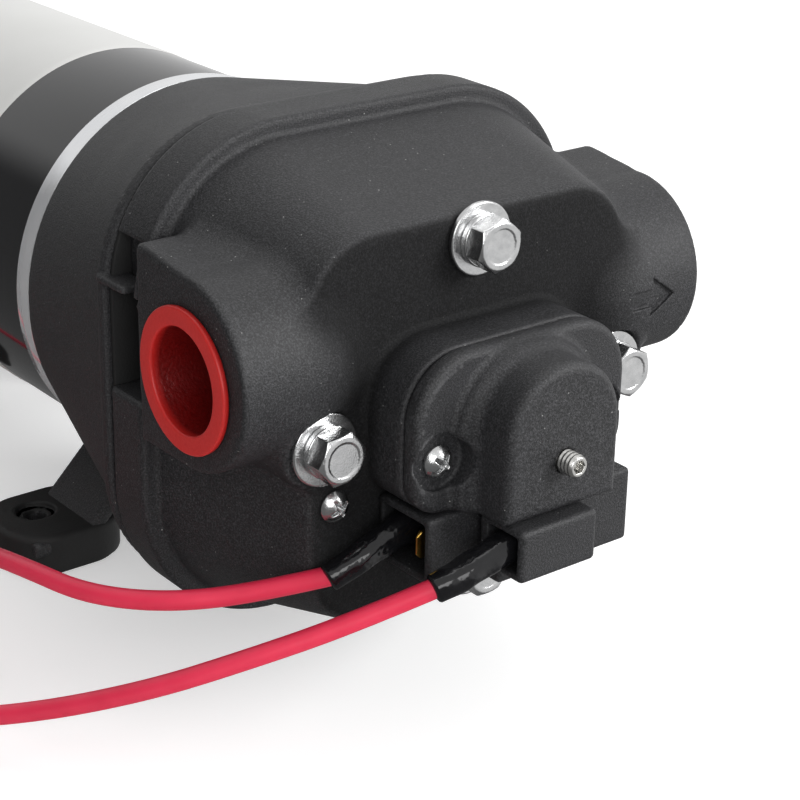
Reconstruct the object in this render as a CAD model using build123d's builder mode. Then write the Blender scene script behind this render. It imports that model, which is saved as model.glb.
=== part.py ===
from build123d import *
import math
import os

# Caravan water pump: a self-priming diaphragm pump with a permanent magnet motor.
# Millimetres. The origin is the centre of the four base screw holes, on the surface the feet stand on.
# The motor axis runs along Y. The pump head faces -Y, the motor's rear cap faces +Y, and Z is up.

os.makedirs("parts", exist_ok=True)

# The whole pump
axis_height = 55.0
seam_y = -86.0
overrun = 1.0
slide_fit = 0.1
running_fit = 0.03
seal_clearance = 0.3
quarter_turn = 90.0

# Pump head
head_width = 90.4
head_height = 88.0
head_corner = 27.5
head_depth = 38.5
rim_depth = 9.5
rim_step = 2.9
rim_edge = 1.2
plateau_width = 64.6
plateau_height = 66.0
plateau_corner = 12.0
plateau_edge = 1.0
seam_gap = 1.0
seam_inset = 1.0
recess_width = 72.0
recess_corner = 15.0
recess_depth = 10.0
front_wall = 4.0
cavity_width = 65.0
cavity_height = 70.0
cavity_corner = 12.0
cavity_taper = 5.0
post_radius = 5.5
discharge_radius = 11.0
discharge_wall = 2.0
passage_radius = 4.0
passage_wall = 2.0
passage_rise = 13.0
pressure_radius = 3.0

# Head bolts, M5
bolt_rise = 28.5
bolt_reach = 30.3
bolt_radius = 2.5
bolt_hole_radius = 2.75
bolt_length = 50.0
bolt_head_flats = 8.0
bolt_head_height = 3.6
washer_radius = 6.1
washer_thickness = 1.0
spring_washer_radius = 4.4
spring_washer_thickness = 1.2
bolt_pad_radius = 7.2
bolt_pad_depth = 12.0

# Small head screws, M3
head_screw_x = 28.0
head_screw_z = -10.5
small_screw_radius = 1.5
small_head_radius = 2.8
small_head_height = 2.0
small_screw_length = 12.0
small_boss_radius = 3.5
cross_width = 0.8
cross_span = 3.2
cross_depth = 1.1

# Ports
port_reach = 47.1
port_set_back = 12.0
port_rise = 11.5
port_root_x = 34.0
port_bore_radius = 10.5
port_bore_depth = 12.6
boss_radius = 15.9
boss_shift_y = 0.2
boss_rise = 0.9
boss_back = 26.0
boss_top = 30.0
slot_bottom = 1.0
slot_top = 18.5
slot_depth = 6.7
arrow_x = 31.0
arrow_length = 10.5
arrow_head_length = 6.0
arrow_head_width = 5.0
arrow_shaft_width = 2.4
arrow_line = 0.5
arrow_depth = 0.7

# Transit plugs
plug_length = 12.0
plug_rim_radius = 11.85
plug_rim_proud = 1.2
plug_hollow_radius = 8.65
plug_hollow_depth = 11.0

# Valve plate, valves and diaphragm
valve_plate_thickness = 9.0
valve_seal_width = 2.5
piston_circle = 20.0
piston_count = 4
piston_offset_angle = 45.0
chamber_radius = 11.7
chamber_depth = 6.5
valve_hole_radius = 0.9
valve_hole_count = 4
valve_hole_circle = 2.8
inlet_valve_radius = 4.5
inlet_valve_thickness = 0.8
inlet_valve_shift = 3.0
outlet_hole_circle = 9.4
outlet_valve_radius = 10.4
outlet_valve_thickness = 0.9
valve_stem_radius = 1.0
diaphragm_clearance = 0.3
cup_radius = 11.2
cap_radius = 9.5
cap_thickness = 2.6
cap_recess_radius = 3.2
cap_recess_depth = 1.4
piston_screw_length = 9.0
piston_head_height = 1.2

# Wobble drive
wobble_angle = 3.5
wobble_pad_radius = 8.5
wobble_pad_depth = 5.0
wobble_disc_radius = 18.0
wobble_disc_thickness = 4.0
bearing_seat_radius = 16.0
bearing_outer_radius = 13.0
bearing_outer_bore = 10.5
bearing_inner_radius = 8.0
bearing_bore = 6.0
bearing_width = 7.0
bearing_set_back = 11.0
ball_radius = 1.22
ball_count = 9
hub_radius = 9.0
hub_front = 20.5
hub_back = 33.0
hub_screw_radius = 1.5
hub_screw_length = 4.6

# Drive housing
housing_flange = 2.5
housing_length = 42.1
housing_shoulder_width = 88.8
housing_shoulder_drop = 3.0
housing_shoulder_corner = 28.0
housing_back_radius = 36.6
housing_corner_share = 0.997
housing_cavity_radius = 33.0
housing_back_wall = 4.2
housing_post_depth = 20.0
housing_screw_circle = 24.0
housing_screw_radius = 2.0
housing_screw_head = 3.6
housing_screw_head_height = 2.2
housing_screw_length = 9.0

# Motor
ring_width = 4.8
ring_radius = 36.6
ring_edge = 0.4
can_radius = 36.0
can_wall = 2.0
can_length = 100.0
rear_cap_length = 12.0
rear_cap_edge = 2.5
rear_cap_spigot = 5.0
cap_boss_radius = 11.0
shaft_radius = 4.0
shaft_front = 10.5
front_bearing_radius = 11.0
front_bearing_width = 7.0
rear_bearing_radius = 8.0
rear_bearing_width = 6.0
magnet_inner_radius = 27.5
magnet_front_inset = 14.0
magnet_back_inset = 26.0
magnet_half_angle = 62.0
core_radius = 26.8
core_front_inset = 22.0
slot_count = 12
core_slot_width = 5.0
core_slot_depth = 11.0
winding_radius = 24.0
winding_depth = 9.0
winding_inner_radius = 9.0
winding_gap = 1.0
commutator_radius = 10.0
commutator_back_inset = 10.0
commutator_length = 14.0
brush_length = 9.0
brush_width = 6.0
brush_depth = 8.0
brush_gap = 0.3
holder_thickness = 2.5
holder_radius = 33.8
holder_bore = 12.0
brush_spring_radius = 2.2
brush_spring_wall = 0.6
through_bolt_radius = 2.0
through_bolt_circle = 30.5
through_bolt_post = 3.4
through_bolt_head_radius = 3.6
through_bolt_head_height = 2.2
label_front_inset = 25.1
label_back_inset = 14.9
label_thickness = 0.2
label_half_angle = 150.0
gland_angle = 127.0
gland_spread = 30.0
gland_radius = 3.0
gland_flange_radius = 4.2
gland_flange_thickness = 1.6
gland_set_back = 5.0

# Base
hole_spacing_x = 64.0
hole_spacing_y = 66.0
foot_length = 25.0
foot_width = 21.2
foot_height = 8.5
foot_corner = 9.0
foot_outer = 9.7
foot_shift_y = 1.8
foot_hole_radius = 2.2
foot_recess_radius = 3.9
tab_thickness = 3.0
tab_rise = 4.5
tab_end = 6.5
tab_fit = 0.1
leg_width = 17.6
leg_shift_y = 3.2
saddle_half_width = 17.7
saddle_depth = 4.8
saddle_wrap = 4.5
leg_slope = 45.0
spine_half_width = 6.0
base_screw_spread = 32.0
base_screw_radius = 2.0
base_screw_head = 3.6
base_screw_head_height = 2.2
base_screw_inset = 2.2

# Pressure switch on the head
switch_half_width = 21.9
switch_top = 15.6
switch_bottom = -10.5
switch_top_corner = 11.0
switch_bottom_corner = 6.0
switch_boss_depth = 9.0
cover_flange = 3.6
cover_flange_edge = 1.4
cover_step_half_width = 14.0
cover_step_top = 15.0
cover_step_bottom = -10.0
cover_step_depth = 1.6
dome_half_width = 11.6
dome_top = 14.3
dome_depth = 13.7
dome_edge = 1.6
switch_z = -1.8
switch_chamber_radius = 6.5
switch_front_wall = 2.2
pressure_pocket_radius = 5.5
pressure_pocket_depth = 1.5
membrane_radius = 7.8
membrane_thickness = 1.0
plunger_radius = 5.4
plunger_thickness = 2.0
plunger_stem_radius = 2.2
plunger_stem_length = 3.6
plunger_arm_width = 3.6
plunger_arm_thickness = 1.2
plunger_arm_tip = -10.9
arm_slot_margin = 0.6
plunger_travel = 0.6
switch_spring_radius = 4.6
switch_spring_wall = 0.9
spring_seat_radius = 5.6
spring_seat_thickness = 1.4
seat_margin = 0.8
spring_end_gap = 0.15
set_screw_radius = 2.0
set_screw_proud = 3.2
set_screw_socket = 2.5
set_screw_socket_depth = 2.4
cover_screw_x = 16.7
cover_screw_z = -1.5
cover_screw_pocket = 4.8
cover_screw_pocket_depth = 1.2
cover_screw_length = 10.0

# Terminal housing, microswitch and terminals; depths are forward of the plateau
shroud_wall = 1.3
shroud_left = -8.0
shroud_right = 20.0
shroud_back = 0.4
shroud_front = 17.1
shroud_bottom = -23.5
rear_hood_left = -19.5
rear_hood_front = 13.5
rear_hood_bottom = -22.0
front_hood_left = -10.7
front_hood_right = 5.1
front_hood_front = 25.4
front_hood_bottom = -19.4
micro_fit = 0.3
micro_top = -12.4
button_width = 3.0
button_depth = 2.2
button_front = 13.4
button_gap = 0.15
button_fit = 0.1
blade_width = 4.75
blade_thickness = 0.8
blade_root_x = -6.7
rear_blades = ((-17.0, 9.3, -18.1), (-17.5, 5.0, -16.0))
front_blade = (-8.6, 20.6, -14.8)
front_blade_right = 3.0
front_tail_left = -0.5

# Leads and the boots on their terminals
lead_diameter = 3.3
arc_share = 0.45
lead_core_diameter = 1.9
rest_gap = 0.05
boot_width = 5.4
boot_nose_width = 4.5
boot_nose_height = 4.5
boot_fit = 0.15
rear_boot_height = 7.4
rear_boot_swell = 0.6
rear_boot_back_x = -10.0
rear_boot_mouth = (-21.0, -130.8, 38.6)
front_boot_height = 5.9
front_boot_swell = 0.3
front_boot_back_x = -4.0
front_boot_mouth = (-13.0, -145.2, 39.8)
coil_radius = 17.5
coil_pitch = 4.3
coil_half_turns = 4
coil_inner_radius = 9.9
coil_centre = (-84.0, -16.0)
bare_length = 5.0

# The motor lead, from its boot back along the pump and into the rear cap
motor_lead_route = [
    (-30.0, -128.3, 34.3), (-40.5, -119.0, 30.4), (-51.0, -110.2, 28.7), (-58.5, -99.0, 28.2),
    (-61.0, -84.5, 27.6), (-60.5, -69.0, 24.0), (-59.0, -54.5, 17.0), (-58.5, -39.0, 9.5),
    (-57.5, -22.0, 3.6), (-56.0, -3.0, 1.9), (-54.0, 16.0, 2.4), (-53.0, 34.0, 6.0),
    (-50.5, 50.0, 13.0), (-41.28, 66.4, 24.04), (-30.08, 66.4, 32.44)]

# The supply lead, from its boot down to the surface and round to the put-away coil
supply_lead_route = [
    (-22.0, -143.5, 36.0), (-33.0, -136.0, 30.6), (-46.0, -127.0, 25.1), (-58.5, -116.5, 18.9),
    (-71.0, -99.5, 10.9), (-83.5, -80.5, 4.0), (-95.5, -62.0, 1.8), (-104.725, -41.0, 1.7),
    (-104.725, -19.3, 1.7)]

# Stations along the motor axis
cover_back_y = seam_y - seam_gap / 2
housing_front_y = seam_y + seam_gap / 2
rim_front_y = cover_back_y - rim_depth
plateau_y = cover_back_y - head_depth
cavity_front_y = plateau_y + front_wall
recess_y = cover_back_y - recess_depth
valve_plate_y = cover_back_y - valve_plate_thickness
port_y = plateau_y + port_set_back
boss_back_y = plateau_y + boss_back
boss_centre_y = port_y + boss_shift_y
boss_centre_z = port_rise + boss_rise
housing_back_y = housing_front_y + housing_length
housing_wall_y = housing_back_y - housing_back_wall
can_front_y = housing_back_y + ring_width
can_back_y = can_front_y + can_length
rear_cap_y = can_back_y + rear_cap_length
bolt_places = [(0, bolt_rise), (0, -bolt_rise), (bolt_reach, 0), (-bolt_reach, 0)]
head_screw_places = [(-head_screw_x, head_screw_z), (head_screw_x, head_screw_z)]
motor_axis = Axis((0, 0, axis_height), (0, 1, 0))
wobble_sine = math.sin(math.radians(wobble_angle))
wobble_cosine = math.cos(math.radians(wobble_angle))


def facing(y):
    """The plane square to the motor axis at y: local X is X, local Y is height over the axis."""
    return Plane(origin=(0, y, axis_height), x_dir=(1, 0, 0), z_dir=(0, -1, 0))


def across(x):
    """The plane square to X at x: local X is Y, local Y is height over the motor axis."""
    return Plane(origin=(x, 0, axis_height), x_dir=(0, 1, 0), z_dir=(1, 0, 0))


def level(z):
    """The level plane at height z over the motor axis."""
    return Plane(origin=(0, 0, axis_height + z), x_dir=(1, 0, 0), z_dir=(0, 0, 1))


def tilted(depth):
    """The plane of the wobble drive, depth behind its centre, leaning by the wobble angle."""
    axis = (0, -wobble_cosine, wobble_sine)
    origin = (0, seam_y + depth * wobble_cosine, axis_height - depth * wobble_sine)
    return Plane(origin=origin, x_dir=(1, 0, 0), z_dir=axis)


def rod(radius, front_y, back_y, places=((0, 0),), mode=Mode.ADD):
    """Round rods along Y between two stations, at (x, height over the axis) places."""
    with BuildSketch(facing(back_y)) as outline:
        with Locations(*places):
            Circle(radius)
    extrude(outline.sketch, amount=back_y - front_y, mode=mode)


def cross_rod(radius, start_x, end_x, y, z, mode=Mode.ADD):
    """A round rod along X between two places."""
    with BuildSketch(across(start_x)) as outline:
        with Locations((y, z)):
            Circle(radius)
    extrude(outline.sketch, amount=end_x - start_x, mode=mode)


def slab(x_range, y_range, z_range, mode=Mode.ADD):
    """A block between pairs of X, Y and height over the axis."""
    centre_x = (x_range[0] + x_range[1]) / 2
    centre_y = (y_range[0] + y_range[1]) / 2
    centre_z = axis_height + (z_range[0] + z_range[1]) / 2
    with Locations((centre_x, centre_y, centre_z)):
        Box(abs(x_range[1] - x_range[0]), abs(y_range[1] - y_range[0]), abs(z_range[1] - z_range[0]),
            mode=mode)


def rounded_prism(width, height, corner, front_y, back_y, mode=Mode.ADD):
    """A prism along Y with a rounded rectangle for its outline."""
    with BuildSketch(facing(back_y)) as outline:
        RectangleRounded(width, height, corner)
    extrude(outline.sketch, amount=back_y - front_y, mode=mode)


def rounded_loft(first, second, mode=Mode.ADD):
    """A straight-sided loft between two rounded rectangles, each (y, width, height, corner)."""
    sketches = []
    for y, width, height, corner in (first, second):
        with BuildSketch(facing(y)) as outline:
            RectangleRounded(width, height, corner)
        sketches.append(outline.sketch)
    loft(sketches, ruled=True, mode=mode)


def arch(half_width, bottom, top, top_corner, bottom_corner, back_y, depth):
    """A plate along Y with an arched top, as the pressure switch has."""
    with BuildSketch(facing(back_y)) as outline:
        with Locations((0, (top + bottom) / 2)):
            Rectangle(2 * half_width, top - bottom)
        fillet(outline.vertices().group_by(Axis.Y)[-1], top_corner)
        fillet(outline.vertices().group_by(Axis.Y)[0], bottom_corner)
    extrude(outline.sketch, amount=depth)


def write(part, name):
    """Label a finished piece and write its file."""
    part.label = name
    export_step(part, f"parts/{name}.step")


# Head cover: rim, sloping faces, front plateau, two ports and the boss of the pressure switch
with BuildPart() as head_cover:
    rounded_prism(head_width, head_height, head_corner, rim_front_y, cover_back_y)
    fillet(head_cover.faces().sort_by(Axis.Y)[0].edges(), rim_edge)
    step_width = head_width - 2 * rim_step
    step_height = head_height - 2 * rim_step
    rounded_loft((rim_front_y, step_width, step_height, head_corner - rim_step),
                 (plateau_y, plateau_width, plateau_height, plateau_corner))
    fillet(head_cover.faces().sort_by(Axis.Y)[0].edges(), plateau_edge)
    rod(bolt_pad_radius, plateau_y, plateau_y + bolt_pad_depth, [(bolt_reach, 0), (-bolt_reach, 0)])
    arch(switch_half_width, switch_bottom, switch_top, switch_top_corner, switch_bottom_corner,
         plateau_y, switch_boss_depth)
    for hand in (-1, 1):
        with BuildSketch(across(hand * port_root_x)) as boss_outline:
            with Locations((boss_centre_y, boss_centre_z)):
                Circle(boss_radius)
            with BuildLine():
                Polyline((boss_centre_y, boss_centre_z + boss_radius), (boss_back_y, boss_top),
                         (boss_back_y, boss_centre_z - boss_radius),
                         (boss_centre_y, boss_centre_z - boss_radius), close=True)
            make_face()
        extrude(boss_outline.sketch, amount=hand * (port_reach - port_root_x))
        with Locations((hand * port_root_x, boss_centre_y, axis_height + boss_centre_z)):
            Sphere(boss_radius, arc_size1=0, arc_size2=quarter_turn, rotation=(0, -quarter_turn * hand, 0),
                   align=None)
    # Inside: the recess of the valve plate and the inlet chamber round the discharge chamber
    rounded_prism(recess_width, recess_width, recess_corner, recess_y, cover_back_y + overrun,
                  Mode.SUBTRACT)
    rounded_loft((recess_y + overrun, cavity_width, cavity_height, cavity_corner),
                 (cavity_front_y, cavity_width - 2 * cavity_taper, cavity_height - 2 * cavity_taper,
                  cavity_corner - cavity_taper / 2), Mode.SUBTRACT)
    rod(post_radius, cavity_front_y - overrun, recess_y, bolt_places)
    rod(small_boss_radius, cavity_front_y - overrun, recess_y, head_screw_places)
    rod(discharge_radius + discharge_wall, cavity_front_y - overrun, valve_plate_y)
    cross_rod(passage_radius + passage_wall, 0, port_root_x, port_y, passage_rise)
    rod(discharge_radius, cavity_front_y, valve_plate_y, mode=Mode.SUBTRACT)
    cross_rod(passage_radius, 0, port_root_x + overrun, port_y, passage_rise, Mode.SUBTRACT)
    cross_rod(passage_radius, -port_root_x - overrun, -cavity_width / 2 + 2 * cavity_taper, port_y,
              passage_rise, Mode.SUBTRACT)
    for hand in (-1, 1):
        cross_rod(port_bore_radius, hand * (port_reach - port_bore_depth), hand * (port_reach + overrun),
                  port_y, port_rise, Mode.SUBTRACT)
        slot_floor = head_width / 2 - slot_depth
        slot_mouth = port_reach + overrun
        slab((hand * slot_floor, hand * slot_mouth), (boss_back_y, cover_back_y + overrun),
             (slot_bottom, slot_top), Mode.SUBTRACT)
    rod(pressure_radius, plateau_y - switch_boss_depth - overrun, cavity_front_y + overrun,
        [(0, switch_z)], Mode.SUBTRACT)
    rod(pressure_pocket_radius, plateau_y - switch_boss_depth - overrun,
        plateau_y - switch_boss_depth + pressure_pocket_depth, [(0, switch_z)], Mode.SUBTRACT)
    rod(bolt_hole_radius, plateau_y - overrun, valve_plate_y + overrun, bolt_places, Mode.SUBTRACT)
    rod(washer_radius + seal_clearance, boss_centre_y - boss_radius - overrun, plateau_y, bolt_places,
        Mode.SUBTRACT)
    rod(small_screw_radius, plateau_y - overrun, plateau_y + small_screw_length, head_screw_places,
        Mode.SUBTRACT)
    rod(small_screw_radius, plateau_y - switch_boss_depth - overrun, plateau_y - overrun,
        [(-cover_screw_x, cover_screw_z), (cover_screw_x, cover_screw_z)], Mode.SUBTRACT)
    # Flow arrow on the outlet side, drawn as a thin groove
    arrow_y = boss_centre_y - boss_radius + arrow_depth
    with BuildSketch(facing(arrow_y)) as arrow:
        with BuildLine():
            neck = arrow_x + arrow_length - arrow_head_length
            half_shaft = arrow_shaft_width / 2
            half_head = arrow_head_width / 2
            Polyline((arrow_x, port_rise - half_shaft), (neck, port_rise - half_shaft),
                     (neck, port_rise - half_head), (arrow_x + arrow_length, port_rise),
                     (neck, port_rise + half_head), (neck, port_rise + half_shaft),
                     (arrow_x, port_rise + half_shaft), close=True)
        make_face()
        offset(amount=-arrow_line, kind=Kind.INTERSECTION, mode=Mode.SUBTRACT)
    extrude(arrow.sketch, amount=arrow_depth + overrun, mode=Mode.SUBTRACT)
write(head_cover.part, "head_cover")

# Head bolts with their flat and spring washers
washer_front_y = plateau_y - washer_thickness
spring_front_y = washer_front_y - spring_washer_thickness
with BuildPart() as bolt_washers:
    rod(washer_radius, washer_front_y, plateau_y, bolt_places)
    rod(bolt_hole_radius, washer_front_y - overrun, plateau_y + overrun, bolt_places, Mode.SUBTRACT)
write(bolt_washers.part, "bolt_washers")

with BuildPart() as spring_washers:
    rod(spring_washer_radius, spring_front_y, washer_front_y, bolt_places)
    rod(bolt_hole_radius, spring_front_y - overrun, washer_front_y + overrun, bolt_places, Mode.SUBTRACT)
write(spring_washers.part, "spring_washers")

with BuildPart() as head_bolts:
    with BuildSketch(facing(spring_front_y)):
        with Locations(*bolt_places):
            RegularPolygon(bolt_head_flats / 2, 6, major_radius=False)
    extrude(amount=bolt_head_height)
    rod(bolt_radius, spring_front_y, spring_front_y + bolt_length, bolt_places)
write(head_bolts.part, "head_bolts")


def cross_screws(name, places, seat_y, shank_radius, head_radius, head_height, length):
    """Pan head screws with a cross recess, their heads in front of seat_y and their shanks behind it."""
    with BuildPart() as screws:
        rod(head_radius, seat_y - head_height, seat_y, places)
        fillet(screws.faces().group_by(Axis.Y)[0].edges(), head_height / 2)
        rod(shank_radius, seat_y, seat_y + length, places)
        with BuildSketch(facing(seat_y - head_height)) as recess:
            with Locations(*places):
                Rectangle(cross_span, cross_width)
                Rectangle(cross_width, cross_span)
        extrude(recess.sketch, amount=-cross_depth, mode=Mode.SUBTRACT)
    write(screws.part, name)


cross_screws("head_screws", head_screw_places, plateau_y, small_screw_radius, small_head_radius,
             small_head_height, small_screw_length)

# Valve plate with four working chambers
piston_step = 360.0 / piston_count
piston_angles = [math.radians(piston_offset_angle + piston_step * i) for i in range(piston_count)]
piston_places = [(piston_circle * math.cos(a), piston_circle * math.sin(a)) for a in piston_angles]
inlet_circle = piston_circle + inlet_valve_shift
inlet_places = [(inlet_circle * math.cos(a), inlet_circle * math.sin(a)) for a in piston_angles]
outlet_places = [(outlet_hole_circle * math.cos(angle), outlet_hole_circle * math.sin(angle))
                 for angle in piston_angles]
chamber_floor_y = cover_back_y - chamber_depth
plate_width = recess_width - 2 * slide_fit


def holes_round(places):
    """The small flow holes round each valve stem."""
    found = []
    for x, z in places:
        for i in range(valve_hole_count):
            angle = 2 * math.pi * i / valve_hole_count
            found.append((x + valve_hole_circle * math.cos(angle),
                          z + valve_hole_circle * math.sin(angle)))
    return found


with BuildPart() as valve_plate:
    rounded_prism(plate_width, plate_width, recess_corner - slide_fit, valve_plate_y, cover_back_y)
    rod(chamber_radius, chamber_floor_y, cover_back_y + overrun, piston_places, Mode.SUBTRACT)
    rod(bolt_hole_radius, valve_plate_y - overrun, cover_back_y + overrun, bolt_places, Mode.SUBTRACT)
    flow_holes = holes_round(inlet_places) + outlet_places
    rod(valve_hole_radius, valve_plate_y - overrun, chamber_floor_y + overrun, flow_holes, Mode.SUBTRACT)
    rod(valve_stem_radius, valve_plate_y - overrun, chamber_floor_y + overrun, inlet_places + [(0, 0)],
        Mode.SUBTRACT)
write(valve_plate.part, "valve_plate")

with BuildPart() as inlet_valves:
    rod(inlet_valve_radius, chamber_floor_y, chamber_floor_y + inlet_valve_thickness, inlet_places)
    rod(valve_stem_radius, valve_plate_y, chamber_floor_y, inlet_places)
write(inlet_valves.part, "inlet_valves")

with BuildPart() as outlet_valve:
    rod(outlet_valve_radius, valve_plate_y - outlet_valve_thickness, valve_plate_y)
    rod(valve_stem_radius, valve_plate_y, chamber_floor_y)
write(outlet_valve.part, "outlet_valve")

with BuildPart() as valve_seal:
    rounded_prism(plate_width, plate_width, recess_corner - slide_fit, recess_y, valve_plate_y)
    seal_opening = plate_width - 2 * valve_seal_width
    rounded_prism(seal_opening, seal_opening, recess_corner - valve_seal_width, recess_y - overrun,
                  valve_plate_y + overrun, Mode.SUBTRACT)
    rod(post_radius, recess_y, valve_plate_y, bolt_places)
    rod(bolt_hole_radius, recess_y - overrun, valve_plate_y + overrun, bolt_places, Mode.SUBTRACT)
write(valve_seal.part, "valve_seal")

# Diaphragm: its clamped flange, and the four working discs that move with the pistons
with BuildPart() as diaphragm:
    rounded_prism(head_width - 2 * seam_inset, head_height - 2 * seam_inset, head_corner - seam_inset,
                  cover_back_y, housing_front_y)
    rod(cup_radius + diaphragm_clearance, cover_back_y - overrun, housing_front_y + overrun, piston_places,
        Mode.SUBTRACT)
    rod(bolt_hole_radius, cover_back_y - overrun, housing_front_y + overrun, bolt_places, Mode.SUBTRACT)
write(diaphragm.part, "diaphragm")


def leaning_rod(radius, front, back, places, mode=Mode.ADD):
    """Round rods along the wobble axis between two depths behind its centre."""
    with BuildSketch(tilted(back)) as outline:
        with Locations(*places):
            Circle(radius)
    extrude(outline.sketch, amount=back - front, mode=mode)


cup_front = -seam_gap / 2
cup_back = seam_gap / 2
with BuildPart() as diaphragm_cups:
    leaning_rod(cup_radius, cup_front, cup_back, piston_places)
    leaning_rod(small_screw_radius, cup_front - overrun, cup_back + overrun, piston_places, Mode.SUBTRACT)
write(diaphragm_cups.part, "diaphragm_cups")

cap_front = cup_front - cap_thickness
screw_seat = cap_front + cap_recess_depth
with BuildPart() as piston_caps:
    leaning_rod(cap_radius, cap_front, cup_front, piston_places)
    leaning_rod(cap_recess_radius, cap_front - overrun, screw_seat, piston_places, Mode.SUBTRACT)
    leaning_rod(small_screw_radius, cap_front, cup_front + overrun, piston_places, Mode.SUBTRACT)
write(piston_caps.part, "piston_caps")

with BuildPart() as piston_screws:
    leaning_rod(small_head_radius, screw_seat - piston_head_height, screw_seat, piston_places)
    leaning_rod(small_screw_radius, screw_seat, screw_seat + piston_screw_length, piston_places)
write(piston_screws.part, "piston_screws")

# Wobble plate: four pads behind the diaphragm on a disc that carries the bearing
pad_back = cup_back + wobble_pad_depth
disc_back = pad_back + wobble_disc_thickness
bearing_front = bearing_set_back
bearing_back = bearing_set_back + bearing_width
with BuildPart() as wobble_plate:
    leaning_rod(wobble_pad_radius, cup_back, disc_back, piston_places)
    leaning_rod(wobble_disc_radius, pad_back, disc_back, [(0, 0)])
    leaning_rod(bearing_seat_radius, disc_back, bearing_back, [(0, 0)])
    leaning_rod(bearing_outer_radius, bearing_front, bearing_back + overrun, [(0, 0)], Mode.SUBTRACT)
    leaning_rod(bearing_outer_bore, disc_back - overrun, bearing_front + overrun, [(0, 0)], Mode.SUBTRACT)
    leaning_rod(small_screw_radius, cup_back - overrun, screw_seat + piston_screw_length, piston_places,
                Mode.SUBTRACT)
write(wobble_plate.part, "wobble_plate")

with BuildPart() as wobble_bearing_outer:
    leaning_rod(bearing_outer_radius, bearing_front, bearing_back, [(0, 0)])
    leaning_rod(bearing_outer_bore, bearing_front - overrun, bearing_back + overrun, [(0, 0)],
                Mode.SUBTRACT)
write(wobble_bearing_outer.part, "wobble_bearing_outer")

with BuildPart() as wobble_bearing_inner:
    leaning_rod(bearing_inner_radius, bearing_front, bearing_back, [(0, 0)])
    leaning_rod(bearing_bore, bearing_front - overrun, bearing_back + overrun, [(0, 0)], Mode.SUBTRACT)
write(wobble_bearing_inner.part, "wobble_bearing_inner")

ball_circle = (bearing_inner_radius + bearing_outer_bore) / 2
ball_plane = tilted((bearing_front + bearing_back) / 2)
with BuildPart() as bearing_balls:
    with Locations(ball_plane):
        with PolarLocations(ball_circle, ball_count):
            Sphere(ball_radius)
write(bearing_balls.part, "bearing_balls")

# Eccentric hub: a leaning journal for the bearing on a hub round the shaft
hub_front_y = seam_y + hub_front
hub_back_y = seam_y + hub_back
with BuildPart() as eccentric_hub:
    rod(hub_radius, hub_front_y, hub_back_y)
    leaning_rod(bearing_bore, bearing_front, hub_front + overrun, [(0, 0)])
    rod(shaft_radius, seam_y, hub_back_y + overrun, mode=Mode.SUBTRACT)
    hub_screw_y = (hub_front_y + overrun + hub_back_y) / 2
    with BuildSketch(level(0)):
        with Locations((0, hub_screw_y)):
            Circle(hub_screw_radius)
    extrude(amount=hub_radius + overrun, mode=Mode.SUBTRACT)
write(eccentric_hub.part, "eccentric_hub")

with BuildPart() as hub_set_screw:
    with BuildSketch(level(shaft_radius)):
        with Locations((0, hub_screw_y)):
            Circle(hub_screw_radius)
    extrude(amount=hub_screw_length)
write(hub_set_screw.part, "hub_set_screw")

# Drive housing: square flange at the seam, round at the motor
housing_screw_places = [(x * housing_screw_circle / piston_circle, z * housing_screw_circle / piston_circle)
                        for x, z in piston_places]
flange_back_y = housing_front_y + housing_flange
with BuildPart() as drive_housing:
    rounded_prism(head_width, head_height - 2 * seam_inset, head_corner, housing_front_y, flange_back_y)
    back_width = 2 * housing_back_radius
    shoulder_height = head_height - 2 * housing_shoulder_drop
    rounded_loft((flange_back_y, housing_shoulder_width, shoulder_height, housing_shoulder_corner),
                 (housing_back_y, back_width, back_width, housing_back_radius * housing_corner_share))
    rod(housing_cavity_radius, housing_front_y - overrun, housing_wall_y, mode=Mode.SUBTRACT)
    rod(post_radius, housing_front_y, housing_front_y + housing_post_depth, bolt_places)
    rod(bolt_radius, housing_front_y - overrun, spring_front_y + bolt_length + overrun, bolt_places,
        Mode.SUBTRACT)
    rod(front_bearing_radius, housing_wall_y - overrun, housing_back_y + overrun, mode=Mode.SUBTRACT)
    rod(housing_screw_radius, housing_wall_y - overrun, housing_back_y + overrun, housing_screw_places,
        Mode.SUBTRACT)
write(drive_housing.part, "drive_housing")

cross_screws("housing_screws", housing_screw_places, housing_wall_y, housing_screw_radius,
             housing_screw_head, housing_screw_head_height, housing_screw_length)

# Motor end plate inside the trim ring
through_places = [(0, through_bolt_circle), (0, -through_bolt_circle)]
bearing_front_y = housing_wall_y + overrun
bearing_back_y = bearing_front_y + front_bearing_width
end_plate_bore = front_bearing_radius
with BuildPart() as motor_end_plate:
    rod(can_radius, housing_back_y, can_front_y)
    rod(end_plate_bore, housing_back_y - overrun, can_front_y + overrun, mode=Mode.SUBTRACT)
    rod(housing_screw_radius, housing_back_y - overrun, can_front_y + overrun, housing_screw_places,
        Mode.SUBTRACT)
    rod(through_bolt_radius, housing_back_y - overrun, can_front_y + overrun, through_places, Mode.SUBTRACT)
write(motor_end_plate.part, "motor_end_plate")

with BuildPart() as trim_ring:
    rod(ring_radius, housing_back_y, can_front_y)
    fillet(trim_ring.edges().filter_by(GeomType.CIRCLE), ring_edge)
    rod(can_radius, housing_back_y - overrun, can_front_y + overrun, mode=Mode.SUBTRACT)
write(trim_ring.part, "trim_ring")

with BuildPart() as front_bearing:
    rod(front_bearing_radius, bearing_front_y, bearing_back_y)
    rod(shaft_radius + running_fit, bearing_front_y - overrun, bearing_back_y + overrun, mode=Mode.SUBTRACT)
write(front_bearing.part, "front_bearing")

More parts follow.
